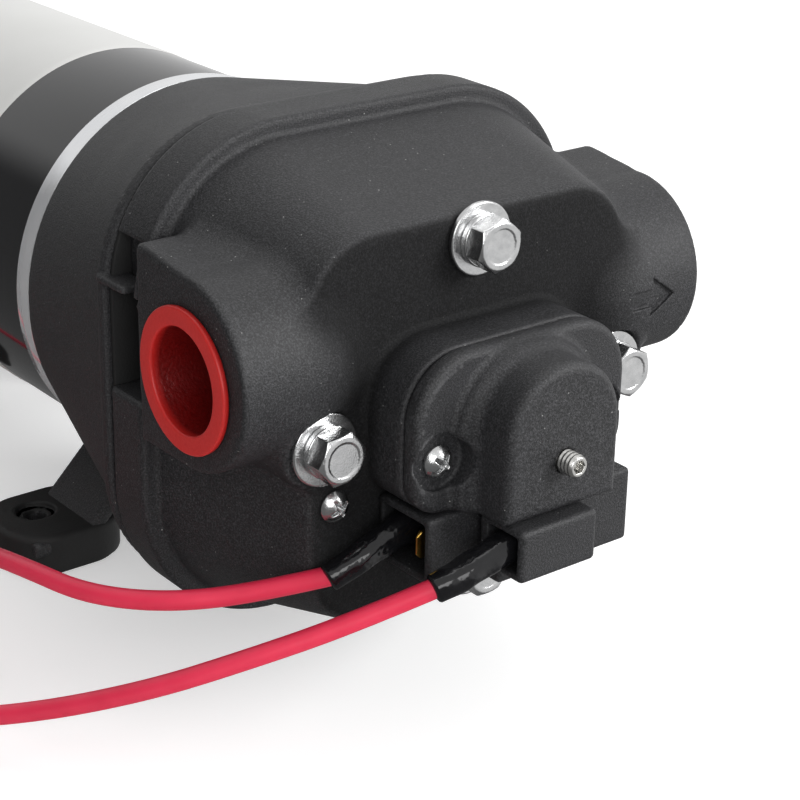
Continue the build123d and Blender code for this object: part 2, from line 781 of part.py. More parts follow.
# Motor can
base_screw_ys = (-base_screw_spread / 2, base_screw_spread / 2)
with BuildPart() as motor_can:
    rod(can_radius, can_front_y, can_back_y)
    rod(can_radius - can_wall, can_front_y - overrun, can_back_y + overrun, mode=Mode.SUBTRACT)
    with BuildSketch(level(-can_radius - overrun)):
        with Locations(*[(0, y) for y in base_screw_ys]):
            Circle(base_screw_radius)
    extrude(amount=can_wall + 2 * overrun, mode=Mode.SUBTRACT)
write(motor_can.part, "motor_can")


def on_circle(radius, angle):
    """A place on a circle, in degrees from +X towards up."""
    return (radius * math.cos(math.radians(angle)), radius * math.sin(math.radians(angle)))


def curved_plate(inner_radius, outer_radius, start_angle, end_angle, front_y, back_y):
    """A plate bent round the motor axis, between two angles in degrees from +X towards up."""
    middle_angle = (start_angle + end_angle) / 2
    with BuildSketch(facing(back_y)) as outline:
        with BuildLine():
            Polyline(on_circle(outer_radius, end_angle), (0, 0), on_circle(outer_radius, start_angle))
            ThreePointArc(on_circle(outer_radius, start_angle), on_circle(outer_radius, middle_angle),
                          on_circle(outer_radius, end_angle))
        make_face()
        Circle(inner_radius, mode=Mode.SUBTRACT)
    extrude(outline.sketch, amount=back_y - front_y)


with BuildPart() as motor_label:
    curved_plate(can_radius, can_radius + label_thickness, 90 - label_half_angle, 90 + label_half_angle,
                 can_front_y + label_front_inset, can_back_y - label_back_inset)
write(motor_label.part, "motor_label")

with BuildPart() as magnets:
    for middle_angle in (0, 180):
        curved_plate(magnet_inner_radius, can_radius - can_wall, middle_angle - magnet_half_angle,
                     middle_angle + magnet_half_angle, can_front_y + magnet_front_inset,
                     can_back_y - magnet_back_inset)
write(magnets.part, "magnets")

# Rotor
rear_wall_y = can_back_y - rear_cap_spigot
rear_bearing_back_y = rear_wall_y + rear_bearing_width + overrun
shaft_back_y = rear_bearing_back_y
with BuildPart() as motor_shaft:
    rod(shaft_radius, seam_y + shaft_front, shaft_back_y)
write(motor_shaft.part, "motor_shaft")

commutator_back_y = can_back_y - commutator_back_inset
commutator_y = commutator_back_y - commutator_length
core_front_y = can_front_y + core_front_inset
core_back_y = commutator_y - winding_gap - winding_depth
core_length = core_back_y - core_front_y
with BuildPart() as armature_core:
    rod(core_radius, core_front_y, core_back_y)
    with BuildSketch(facing(core_back_y + overrun)):
        with PolarLocations(core_radius + overrun - (core_slot_depth + overrun) / 2, slot_count):
            Rectangle(core_slot_depth + overrun, core_slot_width)
    extrude(amount=core_length + 2 * overrun, mode=Mode.SUBTRACT)
    rod(shaft_radius, core_front_y - overrun, core_back_y + overrun, mode=Mode.SUBTRACT)
write(armature_core.part, "armature_core")

with BuildPart() as armature_winding:
    for front_y in (core_front_y - winding_depth, core_back_y):
        back_y = front_y + winding_depth
        rod(winding_radius, front_y, back_y)
        rod(winding_inner_radius, front_y - overrun, back_y + overrun, mode=Mode.SUBTRACT)
write(armature_winding.part, "armature_winding")

with BuildPart() as commutator:
    rod(commutator_radius, commutator_y, commutator_back_y)
    rod(shaft_radius, commutator_y - overrun, commutator_back_y + overrun, mode=Mode.SUBTRACT)
write(commutator.part, "commutator")

# Brushes, one each side of the commutator, on their holder plate
brush_y = commutator_back_y - brush_length
brush_inner = commutator_radius + brush_gap
brush_outer = brush_inner + brush_depth
spring_outer = brush_outer + brush_depth
with BuildPart() as carbon_brushes:
    for hand in (-1, 1):
        slab((hand * brush_inner, hand * brush_outer), (brush_y, commutator_back_y),
             (-brush_width / 2, brush_width / 2))
write(carbon_brushes.part, "carbon_brushes")

holder_y = commutator_back_y + brush_gap
with BuildPart() as brush_holder:
    rod(holder_radius, holder_y, holder_y + holder_thickness)
    rod(holder_bore, holder_y - overrun, holder_y + holder_thickness + overrun, mode=Mode.SUBTRACT)
    rod(through_bolt_radius + slide_fit, holder_y - overrun, holder_y + holder_thickness + overrun,
        through_places, Mode.SUBTRACT)
    channel_half = brush_width / 2 + holder_thickness
    for hand in (-1, 1):
        slab((hand * (brush_inner + holder_thickness), hand * (spring_outer + holder_thickness)),
             (brush_y, holder_y), (-channel_half, channel_half))
        slab((hand * brush_inner, hand * spring_outer), (brush_y - overrun, holder_y),
             (-brush_width / 2, brush_width / 2), Mode.SUBTRACT)
write(brush_holder.part, "brush_holder")

with BuildPart() as brush_springs:
    spring_y = (brush_y + commutator_back_y) / 2
    for hand in (-1, 1):
        cross_rod(brush_spring_radius, hand * brush_outer, hand * spring_outer, spring_y, 0)
        cross_rod(brush_spring_radius - brush_spring_wall, hand * brush_outer, hand * spring_outer,
                  spring_y, 0, Mode.SUBTRACT)
write(brush_springs.part, "brush_springs")

# Rear end cap with its bearing and the two wire glands in its side
gland_y = can_back_y + gland_set_back
gland_angles = (gland_angle, gland_angle + gland_spread)


def gland_plane(angle, radius):
    """The plane square to the radius at an angle from straight up, turned towards -X."""
    outward = (-math.sin(math.radians(angle)), 0, math.cos(math.radians(angle)))
    origin = (radius * outward[0], gland_y, axis_height + radius * outward[2])
    return Plane(origin=origin, x_dir=(0, 1, 0), z_dir=outward)


def gland_rod(radius, inner, outer, angle, mode=Mode.ADD):
    """A round rod along a radius of the rear cap."""
    with BuildSketch(gland_plane(angle, inner)) as outline:
        Circle(radius)
    extrude(outline.sketch, amount=outer - inner, mode=mode)


with BuildPart() as rear_end_cap:
    rod(can_radius, can_back_y, rear_cap_y)
    fillet(rear_end_cap.faces().sort_by(Axis.Y)[-1].edges(), rear_cap_edge)
    rod(can_radius - can_wall, rear_wall_y, can_back_y)
    rod(can_radius - 2 * can_wall - gland_flange_thickness, rear_wall_y - overrun,
        rear_cap_y - 2 * can_wall, mode=Mode.SUBTRACT)
    rod(cap_boss_radius, rear_wall_y, rear_cap_y - can_wall)
    rod(rear_bearing_radius, rear_wall_y - overrun, rear_bearing_back_y - overrun, mode=Mode.SUBTRACT)
    rod(shaft_radius + seal_clearance, rear_wall_y, rear_bearing_back_y, mode=Mode.SUBTRACT)
    rod(through_bolt_post, rear_wall_y, rear_cap_y - can_wall, through_places)
    rod(through_bolt_radius, rear_wall_y - overrun, rear_cap_y + overrun, through_places, Mode.SUBTRACT)
    for angle in gland_angles:
        gland_rod(gland_radius, can_radius / 2, can_radius + overrun, angle, Mode.SUBTRACT)
write(rear_end_cap.part, "rear_end_cap")

with BuildPart() as rear_bearing:
    rod(rear_bearing_radius, rear_wall_y, rear_wall_y + rear_bearing_width)
    rod(shaft_radius + running_fit, rear_wall_y - overrun, rear_wall_y + rear_bearing_width + overrun,
        mode=Mode.SUBTRACT)
write(rear_bearing.part, "rear_bearing")

with BuildPart() as motor_bolts:
    rod(through_bolt_radius, housing_back_y, rear_cap_y, through_places)
    rod(through_bolt_head_radius, rear_cap_y, rear_cap_y + through_bolt_head_height, through_places)
    fillet(motor_bolts.faces().group_by(Axis.Y)[-1].edges(), through_bolt_head_height / 2)
write(motor_bolts.part, "motor_bolts")

gland_inner = can_radius - 2 * can_wall - gland_flange_thickness
gland_outer = can_radius + gland_flange_thickness
with BuildPart() as lead_grommets:
    for angle in gland_angles:
        gland_rod(gland_radius, gland_inner, gland_outer, angle)
        gland_rod(gland_flange_radius, can_radius, gland_outer, angle)
        gland_rod(lead_diameter / 2, gland_inner - overrun, gland_outer + overrun, angle, Mode.SUBTRACT)
write(lead_grommets.part, "lead_grommets")

# Saddle base: a cradle under the can with a pair of sloping legs at each end
foot_ys = (-hole_spacing_y / 2, hole_spacing_y / 2)
foot_xs = (-hole_spacing_x / 2, hole_spacing_x / 2)
foot_holes = [(x, y) for x in foot_xs for y in foot_ys]
tab_z = tab_rise - axis_height
tab_reach = hole_spacing_x / 2 + tab_end
saddle_floor = -can_radius - saddle_depth
saddle_top = -can_radius + saddle_wrap


def leg_outline(grow):
    """The base's section across the motor: saddle, sloping legs and foot tabs, grown by a clearance."""
    with BuildSketch(facing(0)) as outline:
        knee = math.tan(math.radians(leg_slope / 2)) * tab_thickness
        drop = saddle_floor - tab_z
        foot_x = saddle_half_width + drop / math.tan(math.radians(leg_slope))
        right = [(saddle_half_width, saddle_top), (saddle_half_width, saddle_floor + tab_thickness),
                 (foot_x, tab_z + tab_thickness), (tab_reach, tab_z + tab_thickness), (tab_reach, tab_z),
                 (foot_x - knee, tab_z), (saddle_half_width - knee, saddle_floor)]
        left = [(-x, z) for x, z in reversed(right)]
        with BuildLine():
            Polyline(*right, *left, close=True)
        make_face()
        if grow > 0:
            offset(amount=grow, kind=Kind.INTERSECTION)
    return outline.sketch


def leg_centre(y):
    """The middle of a pair of legs along Y, a little further out than its screw holes."""
    return y + math.copysign(leg_shift_y, y)


ring_back_y = can_front_y + seal_clearance
with BuildPart() as saddle_base:
    for hole_y in foot_ys:
        with Locations((0, leg_centre(hole_y) + leg_width / 2, 0)):
            add(extrude(leg_outline(0), amount=leg_width, mode=Mode.PRIVATE))
    slab((-spine_half_width, spine_half_width), (leg_centre(foot_ys[0]), leg_centre(foot_ys[1])),
         (saddle_floor, saddle_top))
    rod(can_radius, leg_centre(foot_ys[0]) - leg_width, leg_centre(foot_ys[1]) + leg_width,
        mode=Mode.SUBTRACT)
    rod(ring_radius + seal_clearance, leg_centre(foot_ys[0]) - leg_width, ring_back_y, mode=Mode.SUBTRACT)
    with BuildSketch(level(saddle_floor - overrun)) as screw_holes:
        with Locations(*[(0, y) for y in base_screw_ys]):
            Circle(base_screw_radius)
    extrude(screw_holes.sketch, amount=saddle_depth + 2 * overrun, mode=Mode.SUBTRACT)
    with BuildSketch(level(saddle_floor - overrun)) as head_recesses:
        with Locations(*[(0, y) for y in base_screw_ys]):
            Circle(base_screw_head + slide_fit)
    extrude(head_recesses.sketch, amount=base_screw_inset + overrun, mode=Mode.SUBTRACT)
    with BuildSketch(level(tab_z - overrun)) as tab_holes:
        with Locations(*foot_holes):
            Circle(foot_hole_radius)
    extrude(tab_holes.sketch, amount=tab_thickness + 2 * overrun, mode=Mode.SUBTRACT)
write(saddle_base.part, "saddle_base")

with BuildPart() as base_screws:
    head_z = saddle_floor + base_screw_inset
    screw_tops = -can_radius + can_wall
    with BuildSketch(level(head_z)) as screw_heads:
        with Locations(*[(0, y) for y in base_screw_ys]):
            Circle(base_screw_head)
    extrude(screw_heads.sketch, amount=-base_screw_head_height)
    with BuildSketch(level(head_z)) as shanks:
        with Locations(*[(0, y) for y in base_screw_ys]):
            Circle(base_screw_radius)
    extrude(shanks.sketch, amount=screw_tops - head_z)
write(base_screws.part, "base_screws")

with BuildPart() as rubber_feet:
    with BuildSketch(Plane.XY):
        for hole_x, hole_y in foot_holes:
            inward_x = math.copysign(foot_length / 2 - foot_outer, hole_x)
            with Locations((hole_x - inward_x, hole_y + math.copysign(foot_shift_y, hole_y))):
                RectangleRounded(foot_length, foot_width, foot_corner)
    extrude(amount=foot_height)
    for hole_y in foot_ys:
        with Locations((0, leg_centre(hole_y) + leg_width / 2 + tab_fit, 0)):
            add(extrude(leg_outline(tab_fit), amount=leg_width + 2 * tab_fit, mode=Mode.PRIVATE),
                mode=Mode.SUBTRACT)
    with BuildSketch(Plane.XY.offset(-overrun)) as foot_bores:
        with Locations(*foot_holes):
            Circle(foot_hole_radius)
    extrude(foot_bores.sketch, amount=foot_height + 2 * overrun, mode=Mode.SUBTRACT)
    with BuildSketch(Plane.XY.offset(tab_rise + tab_thickness)) as foot_recesses:
        with Locations(*foot_holes):
            Circle(foot_recess_radius)
    extrude(foot_recesses.sketch, amount=foot_height, mode=Mode.SUBTRACT)
write(rubber_feet.part, "rubber_feet")

# Pressure switch: the stations run forward from the front of the boss on the head
boss_front_y = plateau_y - switch_boss_depth
flange_front_y = boss_front_y - cover_flange
pocket_y = flange_front_y + cover_screw_pocket_depth
dome_front_y = boss_front_y - dome_depth
chamber_front_y = dome_front_y + switch_front_wall
seat_front_y = chamber_front_y + seat_margin
seat_back_y = seat_front_y + spring_seat_thickness
membrane_front_y = boss_front_y - membrane_thickness
plunger_back_y = membrane_front_y - seal_clearance
plunger_front_y = plunger_back_y - plunger_thickness
switch_place = [(0, switch_z)]
cover_screw_places = [(-cover_screw_x, cover_screw_z), (cover_screw_x, cover_screw_z)]
arm_slot_half = plunger_arm_width / 2 + arm_slot_margin
arm_back_y = plunger_front_y + plunger_arm_thickness

with BuildPart() as switch_cover:
    arch(switch_half_width, switch_bottom, switch_top, switch_top_corner, switch_bottom_corner,
         boss_front_y, cover_flange)
    fillet(switch_cover.faces().sort_by(Axis.Y)[0].edges(), cover_flange_edge)
    arch(cover_step_half_width, cover_step_bottom, cover_step_top, cover_step_half_width - overrun,
         cover_flange_edge, boss_front_y, cover_flange + cover_step_depth)
    with BuildSketch(facing(boss_front_y)) as dome_outline:
        with Locations((0, dome_top - dome_half_width)):
            Circle(dome_half_width)
        dome_mid = (switch_bottom + dome_top - dome_half_width) / 2
        with Locations((0, dome_mid)):
            Rectangle(2 * dome_half_width, dome_top - dome_half_width - switch_bottom)
    extrude(dome_outline.sketch, amount=dome_depth)
    fillet(switch_cover.faces().sort_by(Axis.Y)[0].edges(), dome_edge)
    rod(cover_screw_pocket, dome_front_y, pocket_y, cover_screw_places, Mode.SUBTRACT)
    rod(small_screw_radius, pocket_y - overrun, boss_front_y + overrun, cover_screw_places, Mode.SUBTRACT)
    rod(membrane_radius + slide_fit, membrane_front_y, boss_front_y + overrun, switch_place, Mode.SUBTRACT)
    rod(switch_chamber_radius, chamber_front_y, boss_front_y, switch_place, Mode.SUBTRACT)
    rod(set_screw_radius + running_fit, dome_front_y - overrun, chamber_front_y + overrun, switch_place,
        Mode.SUBTRACT)
    slab((-arm_slot_half, arm_slot_half),
         (plunger_front_y - plunger_travel - arm_slot_margin, arm_back_y + arm_slot_margin),
         (switch_bottom - overrun, switch_z), Mode.SUBTRACT)
write(switch_cover.part, "switch_cover")

cross_screws("switch_screws", cover_screw_places, pocket_y, small_screw_radius, small_head_radius,
             small_head_height, cover_screw_length)

with BuildPart() as switch_membrane:
    rod(membrane_radius, membrane_front_y, boss_front_y, switch_place)
write(switch_membrane.part, "switch_membrane")

with BuildPart() as switch_plunger:
    rod(plunger_radius, plunger_front_y, plunger_back_y, switch_place)
    rod(plunger_stem_radius, plunger_front_y - plunger_stem_length, plunger_back_y, switch_place)
    arm_half = plunger_arm_width / 2
    with BuildSketch(across(-arm_half)) as arm_outline:
        with BuildLine():
            Polyline((plunger_front_y, switch_z), (plunger_front_y, plunger_arm_tip),
                     (arm_back_y, plunger_arm_tip - plunger_arm_thickness), (arm_back_y, switch_z),
                     close=True)
        make_face()
    extrude(arm_outline.sketch, amount=plunger_arm_width)
write(switch_plunger.part, "switch_plunger")

with BuildPart() as switch_spring:
    rod(switch_spring_radius, seat_back_y + spring_end_gap, plunger_front_y, switch_place)
    rod(switch_spring_radius - switch_spring_wall, seat_back_y, plunger_front_y + overrun, switch_place,
        Mode.SUBTRACT)
write(switch_spring.part, "switch_spring")

with BuildPart() as spring_seat:
    rod(spring_seat_radius, seat_front_y, seat_back_y, switch_place)
write(spring_seat.part, "spring_seat")

with BuildPart() as adjusting_screw:
    tip_y = dome_front_y - set_screw_proud
    rod(set_screw_radius, tip_y, seat_front_y - running_fit, switch_place)
    with BuildSketch(facing(tip_y)) as socket:
        with Locations(*switch_place):
            RegularPolygon(set_screw_socket / 2, 6, major_radius=False)
    extrude(socket.sketch, amount=-set_screw_socket_depth, mode=Mode.SUBTRACT)
write(adjusting_screw.part, "adjusting_screw")


def forward(depth):
    """The Y of a depth forward of the plateau."""
    return plateau_y - depth


# Terminal housing: the microswitch box with a hood for the rear and for the front terminals
box_inner_left = shroud_left + shroud_wall
box_front_inner = shroud_front - shroud_wall
front_blade_x, front_blade_depth, front_blade_z = front_blade
tail_height = blade_thickness


def terminals(grow):
    """The blades and the tail of the front blade, grown by a clearance."""
    half_blade = blade_width / 2 + grow
    half_thick = blade_thickness / 2 + grow
    for blade_x, depth, z in rear_blades:
        slab((blade_x, blade_root_x), (forward(depth + half_thick), forward(depth - half_thick)),
             (z - half_blade, z + half_blade))
    slab((front_blade_x, front_blade_right),
         (forward(front_blade_depth + half_thick), forward(front_blade_depth - half_thick)),
         (front_blade_z - half_blade, front_blade_z + half_blade))
    slab((front_tail_left - grow, front_blade_right + grow),
         (forward(front_blade_depth), forward(box_front_inner - micro_fit)),
         (front_blade_z - tail_height / 2 - grow, front_blade_z + tail_height / 2 + grow))


with BuildPart() as switch_terminals:
    terminals(0)
write(switch_terminals.part, "switch_terminals")

with BuildPart() as terminal_housing:
    slab((shroud_left, shroud_right), (forward(shroud_front), forward(shroud_back)),
         (shroud_bottom, switch_bottom))
    slab((rear_hood_left, shroud_left), (forward(rear_hood_front), forward(shroud_back)),
         (rear_hood_bottom, switch_bottom))
    slab((front_hood_left, front_hood_right), (forward(front_hood_front), forward(box_front_inner)),
         (front_hood_bottom, switch_bottom))
    slab((box_inner_left, shroud_right - shroud_wall),
         (forward(box_front_inner), forward(shroud_back + shroud_wall)),
         (shroud_bottom + shroud_wall, switch_bottom - shroud_wall), Mode.SUBTRACT)
    slab((rear_hood_left - overrun, shroud_left),
         (forward(rear_hood_front - shroud_wall), forward(shroud_back + shroud_wall)),
         (rear_hood_bottom + shroud_wall, switch_bottom - shroud_wall), Mode.SUBTRACT)
    slab((front_hood_left - overrun, front_hood_right - shroud_wall),
         (forward(front_hood_front - shroud_wall), forward(shroud_front)),
         (front_hood_bottom + shroud_wall, switch_bottom - shroud_wall), Mode.SUBTRACT)
    slab((-arm_slot_half, arm_slot_half),
         (forward(button_front + arm_slot_margin), arm_back_y + arm_slot_margin),
         (switch_bottom - shroud_wall - overrun, switch_bottom + overrun), Mode.SUBTRACT)
    rod(washer_radius + seal_clearance, washer_front_y - seal_clearance, plateau_y, [(0, -bolt_rise)],
        Mode.SUBTRACT)
    with BuildPart(mode=Mode.SUBTRACT):
        terminals(slide_fit)
write(terminal_housing.part, "terminal_housing")

# Microswitch and its button, which the plunger's arm presses down
button_back_y = forward(button_front - button_depth)
button_front_y = forward(button_front)
button_top = plunger_arm_tip - button_gap
pocket_depth = plunger_travel + button_gap
with BuildPart() as microswitch_button:
    ramp_shift = button_gap * math.sqrt(2)
    button_floor = micro_top - pocket_depth + plunger_travel
    with BuildSketch(across(-button_width / 2)) as button_outline:
        with BuildLine():
            Polyline((button_front_y, button_floor), (button_front_y, button_top),
                     (plunger_front_y - ramp_shift + button_gap, button_top),
                     (button_back_y, button_top - (button_back_y - plunger_front_y + ramp_shift - button_gap)),
                     (button_back_y, button_floor), close=True)
        make_face()
    extrude(button_outline.sketch, amount=button_width)
write(microswitch_button.part, "microswitch_button")

with BuildPart() as microswitch:
    slab((box_inner_left + micro_fit, shroud_right - shroud_wall - micro_fit),
         (forward(box_front_inner - micro_fit), forward(shroud_back + shroud_wall + micro_fit)),
         (shroud_bottom + shroud_wall, micro_top))
    slab((-button_width / 2 - button_fit, button_width / 2 + button_fit),
         (button_front_y - button_fit, button_back_y + button_fit),
         (micro_top - pocket_depth - plunger_travel, micro_top + overrun), Mode.SUBTRACT)
write(microswitch.part, "microswitch")


def run_direction(points, start, end):
    """The direction of the run between two points of a route."""
    return (Vector(*points[end]) - Vector(*points[start])).normalized()


def boot(name, height, swell, back_x, blade, mouth, route):
    """An insulating boot: over the terminal blade at its back, drawn in round the lead at its nose."""
    blade_x, depth, blade_z = blade
    blade_y = forward(depth)
    along = run_direction(route, 0, 1)
    out = Vector(-1, 0, 0)
    middle_way = (out + along).normalized()
    back = (back_x, blade_y, axis_height + blade_z)
    sections = [(back, out, boot_width, height),
                ((blade_x - slide_fit - boot_fit, blade_y, axis_height + blade_z), out, boot_width, height),
                (mouth, middle_way, boot_width + swell, height - swell),
                (route[0], along, boot_nose_width, boot_nose_height)]
    with BuildPart() as sleeve:
        outlines = []
        for centre, way, width, tall in sections:
            level_way = way.cross(Vector(0, 0, 1)).normalized()
            with BuildSketch(Plane(origin=centre, x_dir=level_way, z_dir=way)) as outline:
                RectangleRounded(width, tall, width / 2 - boot_fit)
            outlines.append(outline.sketch)
        loft(outlines, ruled=True)
        slab((blade_x - boot_fit, back_x + overrun),
             (blade_y - blade_thickness / 2 - boot_fit, blade_y + blade_thickness / 2 + boot_fit),
             (blade_z - blade_width / 2 - boot_fit, blade_z + blade_width / 2 + boot_fit), Mode.SUBTRACT)
    write(sleeve.part, name)


boot("rear_lead_boot", rear_boot_height, rear_boot_swell, rear_boot_back_x, rear_blades[1],
     rear_boot_mouth, motor_lead_route)
boot("front_lead_boot", front_boot_height, front_boot_swell, front_boot_back_x, front_blade,
     front_boot_mouth, supply_lead_route)


def cord(name, points):
    """A lead of straight runs; the arc at each point takes a share of its shorter run."""
    radii = []
    for i in range(1, len(points) - 1):
        before = Vector(*points[i]) - Vector(*points[i - 1])
        after = Vector(*points[i + 1]) - Vector(*points[i])
        half_turn = math.radians(before.get_angle(after)) / 2
        radii.append(arc_share * min(before.length, after.length) / math.tan(half_turn))
    with BuildPart() as tube:
        with BuildLine() as path:
            FilletPolyline(*points, radius=radii)
        with BuildSketch(Plane(origin=points[0], z_dir=run_direction(points, 0, 1))) as section:
            Circle(lead_diameter / 2)
        sweep(section.sketch, path=path.wires()[0])
    write(tube.part, name)
    length = path.wires()[0].length
    area = math.pi * lead_diameter ** 2 / 4
    print(name, "radii", [round(r, 1) for r in radii], "length", round(length, 1),
          "volume over section x length", round(tube.part.volume / (area * length), 4))


cord("motor_lead", motor_lead_route)
cord("supply_lead", supply_lead_route)

# The put-away coil: half turns that draw in, a quarter turn inwards, and a straight diameter at each end
coil_z = lead_diameter / 2 + rest_gap
with BuildPart() as supply_coil:
    with BuildLine() as coil_path:
        step = coil_pitch / 2
        radius = coil_radius + step * (coil_half_turns - 1) / 2
        centre_x, centre_y = coil_centre
        x = centre_x - radius
        way = 1
        Line((x, centre_y - lead_diameter, coil_z), (x, centre_y, coil_z))
        for _ in range(coil_half_turns):
            ThreePointArc((x, centre_y, coil_z), (x + way * radius, centre_y + way * radius, coil_z),
                          (x + way * 2 * radius, centre_y, coil_z))
            x += way * 2 * radius
            radius -= step
            way = -way
        quarter = coil_inner_radius * math.sqrt(0.5)
        ThreePointArc((x, centre_y, coil_z),
                      (x + coil_inner_radius - quarter, centre_y + quarter, coil_z),
                      (x + coil_inner_radius, centre_y + coil_inner_radius, coil_z))
        coil_end = (x + coil_inner_radius + lead_diameter, centre_y + coil_inner_radius, coil_z)
        Line((x + coil_inner_radius, centre_y + coil_inner_radius, coil_z), coil_end)
    with BuildSketch(Plane(origin=(centre_x - coil_radius - step * (coil_half_turns - 1) / 2,
                                   centre_y - lead_diameter, coil_z), z_dir=(0, 1, 0))) as coil_section:
        Circle(lead_diameter / 2)
    sweep(coil_section.sketch, path=coil_path.wires()[0])
write(supply_coil.part, "supply_coil")

# The least gap of the coil to itself, measured between points more than half a turn apart
coil_wire = coil_path.wires()[0]
steps = int(coil_wire.length / lead_diameter * 3)
coil_points = [coil_wire.position_at(i / steps) for i in range(steps + 1)]
apart = int(steps * coil_radius * math.pi / coil_wire.length)
coil_gap = min((coil_points[i] - coil_points[j]).length - lead_diameter
               for i in range(steps + 1) for j in range(i + apart, steps + 1))
print("supply_coil length", round(coil_wire.length, 1), "least gap to itself", round(coil_gap, 2))

with BuildPart() as lead_end:
    with BuildSketch(Plane(origin=coil_end, z_dir=(1, 0, 0))):
        Circle(lead_core_diameter / 2)
    extrude(amount=bare_length)
write(lead_end.part, "lead_end")


def transit_plug(name, hand):
    """A hollow plug pushed into a port, its rim on the end face; hand is -1 at the inlet."""
    with BuildPart() as plug:
        cross_rod(port_bore_radius - slide_fit, hand * (port_reach - plug_length), hand * port_reach,
                  port_y, port_rise)
        cross_rod(plug_rim_radius, hand * port_reach, hand * (port_reach + plug_rim_proud), port_y,
                  port_rise)
        plug_face = port_reach + plug_rim_proud
        cross_rod(plug_hollow_radius, hand * (plug_face - plug_hollow_depth), hand * (plug_face + overrun),
                  port_y, port_rise, Mode.SUBTRACT)
    write(plug.part, name)


transit_plug("inlet_plug", -1)
transit_plug("outlet_plug", 1)
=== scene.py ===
"""Looks of a caravan water pump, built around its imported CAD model.

Sizes inside this file are millimetres in the model's own frame: X to the right, Y back along the motor,
Z up from the surface. Shapes of the head count their height from the motor axis instead.
"""

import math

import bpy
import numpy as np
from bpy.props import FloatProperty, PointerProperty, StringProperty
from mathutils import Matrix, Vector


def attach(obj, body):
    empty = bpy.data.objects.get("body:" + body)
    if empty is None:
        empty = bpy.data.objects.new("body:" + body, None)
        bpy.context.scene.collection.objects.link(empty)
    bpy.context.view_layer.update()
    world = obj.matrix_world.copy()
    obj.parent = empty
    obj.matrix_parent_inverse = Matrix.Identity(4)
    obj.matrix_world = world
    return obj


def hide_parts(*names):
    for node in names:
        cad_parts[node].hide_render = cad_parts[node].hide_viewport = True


bl_info = {
    "name": "Caravan Water Pump",
    "version": (1, 0, 0),
    "blender": (4, 5, 0),
    "location": "View3D > Sidebar > Water Pump",
    "description": "Builds the moulded, metal and wiring pieces of a diaphragm water pump",
    "category": "Object",
}

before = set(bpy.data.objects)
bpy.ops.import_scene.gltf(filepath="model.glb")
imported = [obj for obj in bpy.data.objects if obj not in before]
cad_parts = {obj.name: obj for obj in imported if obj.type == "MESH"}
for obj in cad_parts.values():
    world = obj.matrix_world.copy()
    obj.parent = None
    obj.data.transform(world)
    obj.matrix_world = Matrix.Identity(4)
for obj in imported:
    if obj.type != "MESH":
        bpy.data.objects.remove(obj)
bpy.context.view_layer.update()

MM = 0.001
AXIS_HEIGHT = 55.0

# Stations along Y
SEAM_FRONT, SEAM_BACK = -86.5, -85.5
RIM_FRONT, PLATEAU = -96.0, -125.0
CAP_FRONT, CAP_BACK = 61.4, 73.4
COVER_SCREW_SEAT = -136.4
GLAND_Y = 66.4

# Rounded rectangles about the motor axis: half width, half height and corner
HEAD_RIM = (45.2, 44.0, 27.5)
HOUSING_FLANGE = (45.2, 43.0, 27.5)
DIAPHRAGM_EDGE = (44.2, 43.0, 26.5)

# The pressure switch's outline: half width, bottom, top, upper corner and lower corner
SWITCH_OUTLINE = (21.9, -10.5, 15.6, 11.0, 6.0)

# Places in X and height of the bolts and screws, which the pieces repeat
BOLT_PLACES = [(0, 28.5), (0, -28.5), (30.3, 0), (-30.3, 0)]
HEAD_SCREW_PLACES = [(-28, -10.5), (28, -10.5)]
COVER_SCREW_PLACES = [(-16.7, -1.5), (16.7, -1.5)]
MOTOR_BOLT_RISE = 30.5
SWITCH_RISE = -1.8

# The ports: the bore and its reach, then the round boss about it and where that leaves the head
PORT_Y, PORT_RISE, PORT_REACH = -113.0, 11.5, 47.1
BOSS_Y, BOSS_RISE, BOSS_RADIUS, BOSS_ROOT = -112.8, 12.4, 15.9, 34.0

CAN_RADIUS = 36.0
FOOT_PLACE = (29.2, 34.8)
BASE_HOLE = (32, 33)


# ---------------------------------------------------------------- sizes and colours a user may change

class MouldingSettings(bpy.types.PropertyGroup):
    """Sizes of the moulded pieces' soft edges and the fineness of their surfaces."""
    head_pitch: FloatProperty(name="Large grid", description="Grid of the large mouldings, in millimetres",
                              default=0.73, min=0.4, max=2.0)
    part_pitch: FloatProperty(name="Part grid", description="Grid of the smaller mouldings, in millimetres",
                              default=0.4, min=0.25, max=1.5)
    metal_pitch: FloatProperty(name="Fastener grid", description="Grid of bolts and screws, in millimetres",
                               default=0.17, min=0.08, max=0.6)
    boss_fillet: FloatProperty(name="Port fillet", description="Radius where a port runs into the head",
                               default=2.4, min=0.3, max=6.0)
    plateau_edge: FloatProperty(name="Plateau edge", description="Radius round the head's flat front",
                                default=1.5, min=0.3, max=6.0)


class FinishSettings(bpy.types.PropertyGroup):
    """Colours of the finishes, as sRGB hex values."""
    nylon: StringProperty(name="Nylon", description="Black glass-filled nylon", default="161617")
    nylon_pale: StringProperty(name="Nylon, pale", description="Paler clouds in it", default="1d1d1f")
    paint: StringProperty(name="Motor paint", description="Gloss black paint", default="0a0a0c")
    label: StringProperty(name="Label", description="White vinyl label", default="d9d9d6")
    plug: StringProperty(name="Plug", description="Red transit plug", default="cc2822")
    lead: StringProperty(name="Lead", description="Lead insulation", default="f03a5a")
    boot: StringProperty(name="Boot", description="Glossy insulating boot", default="0b0b0d")


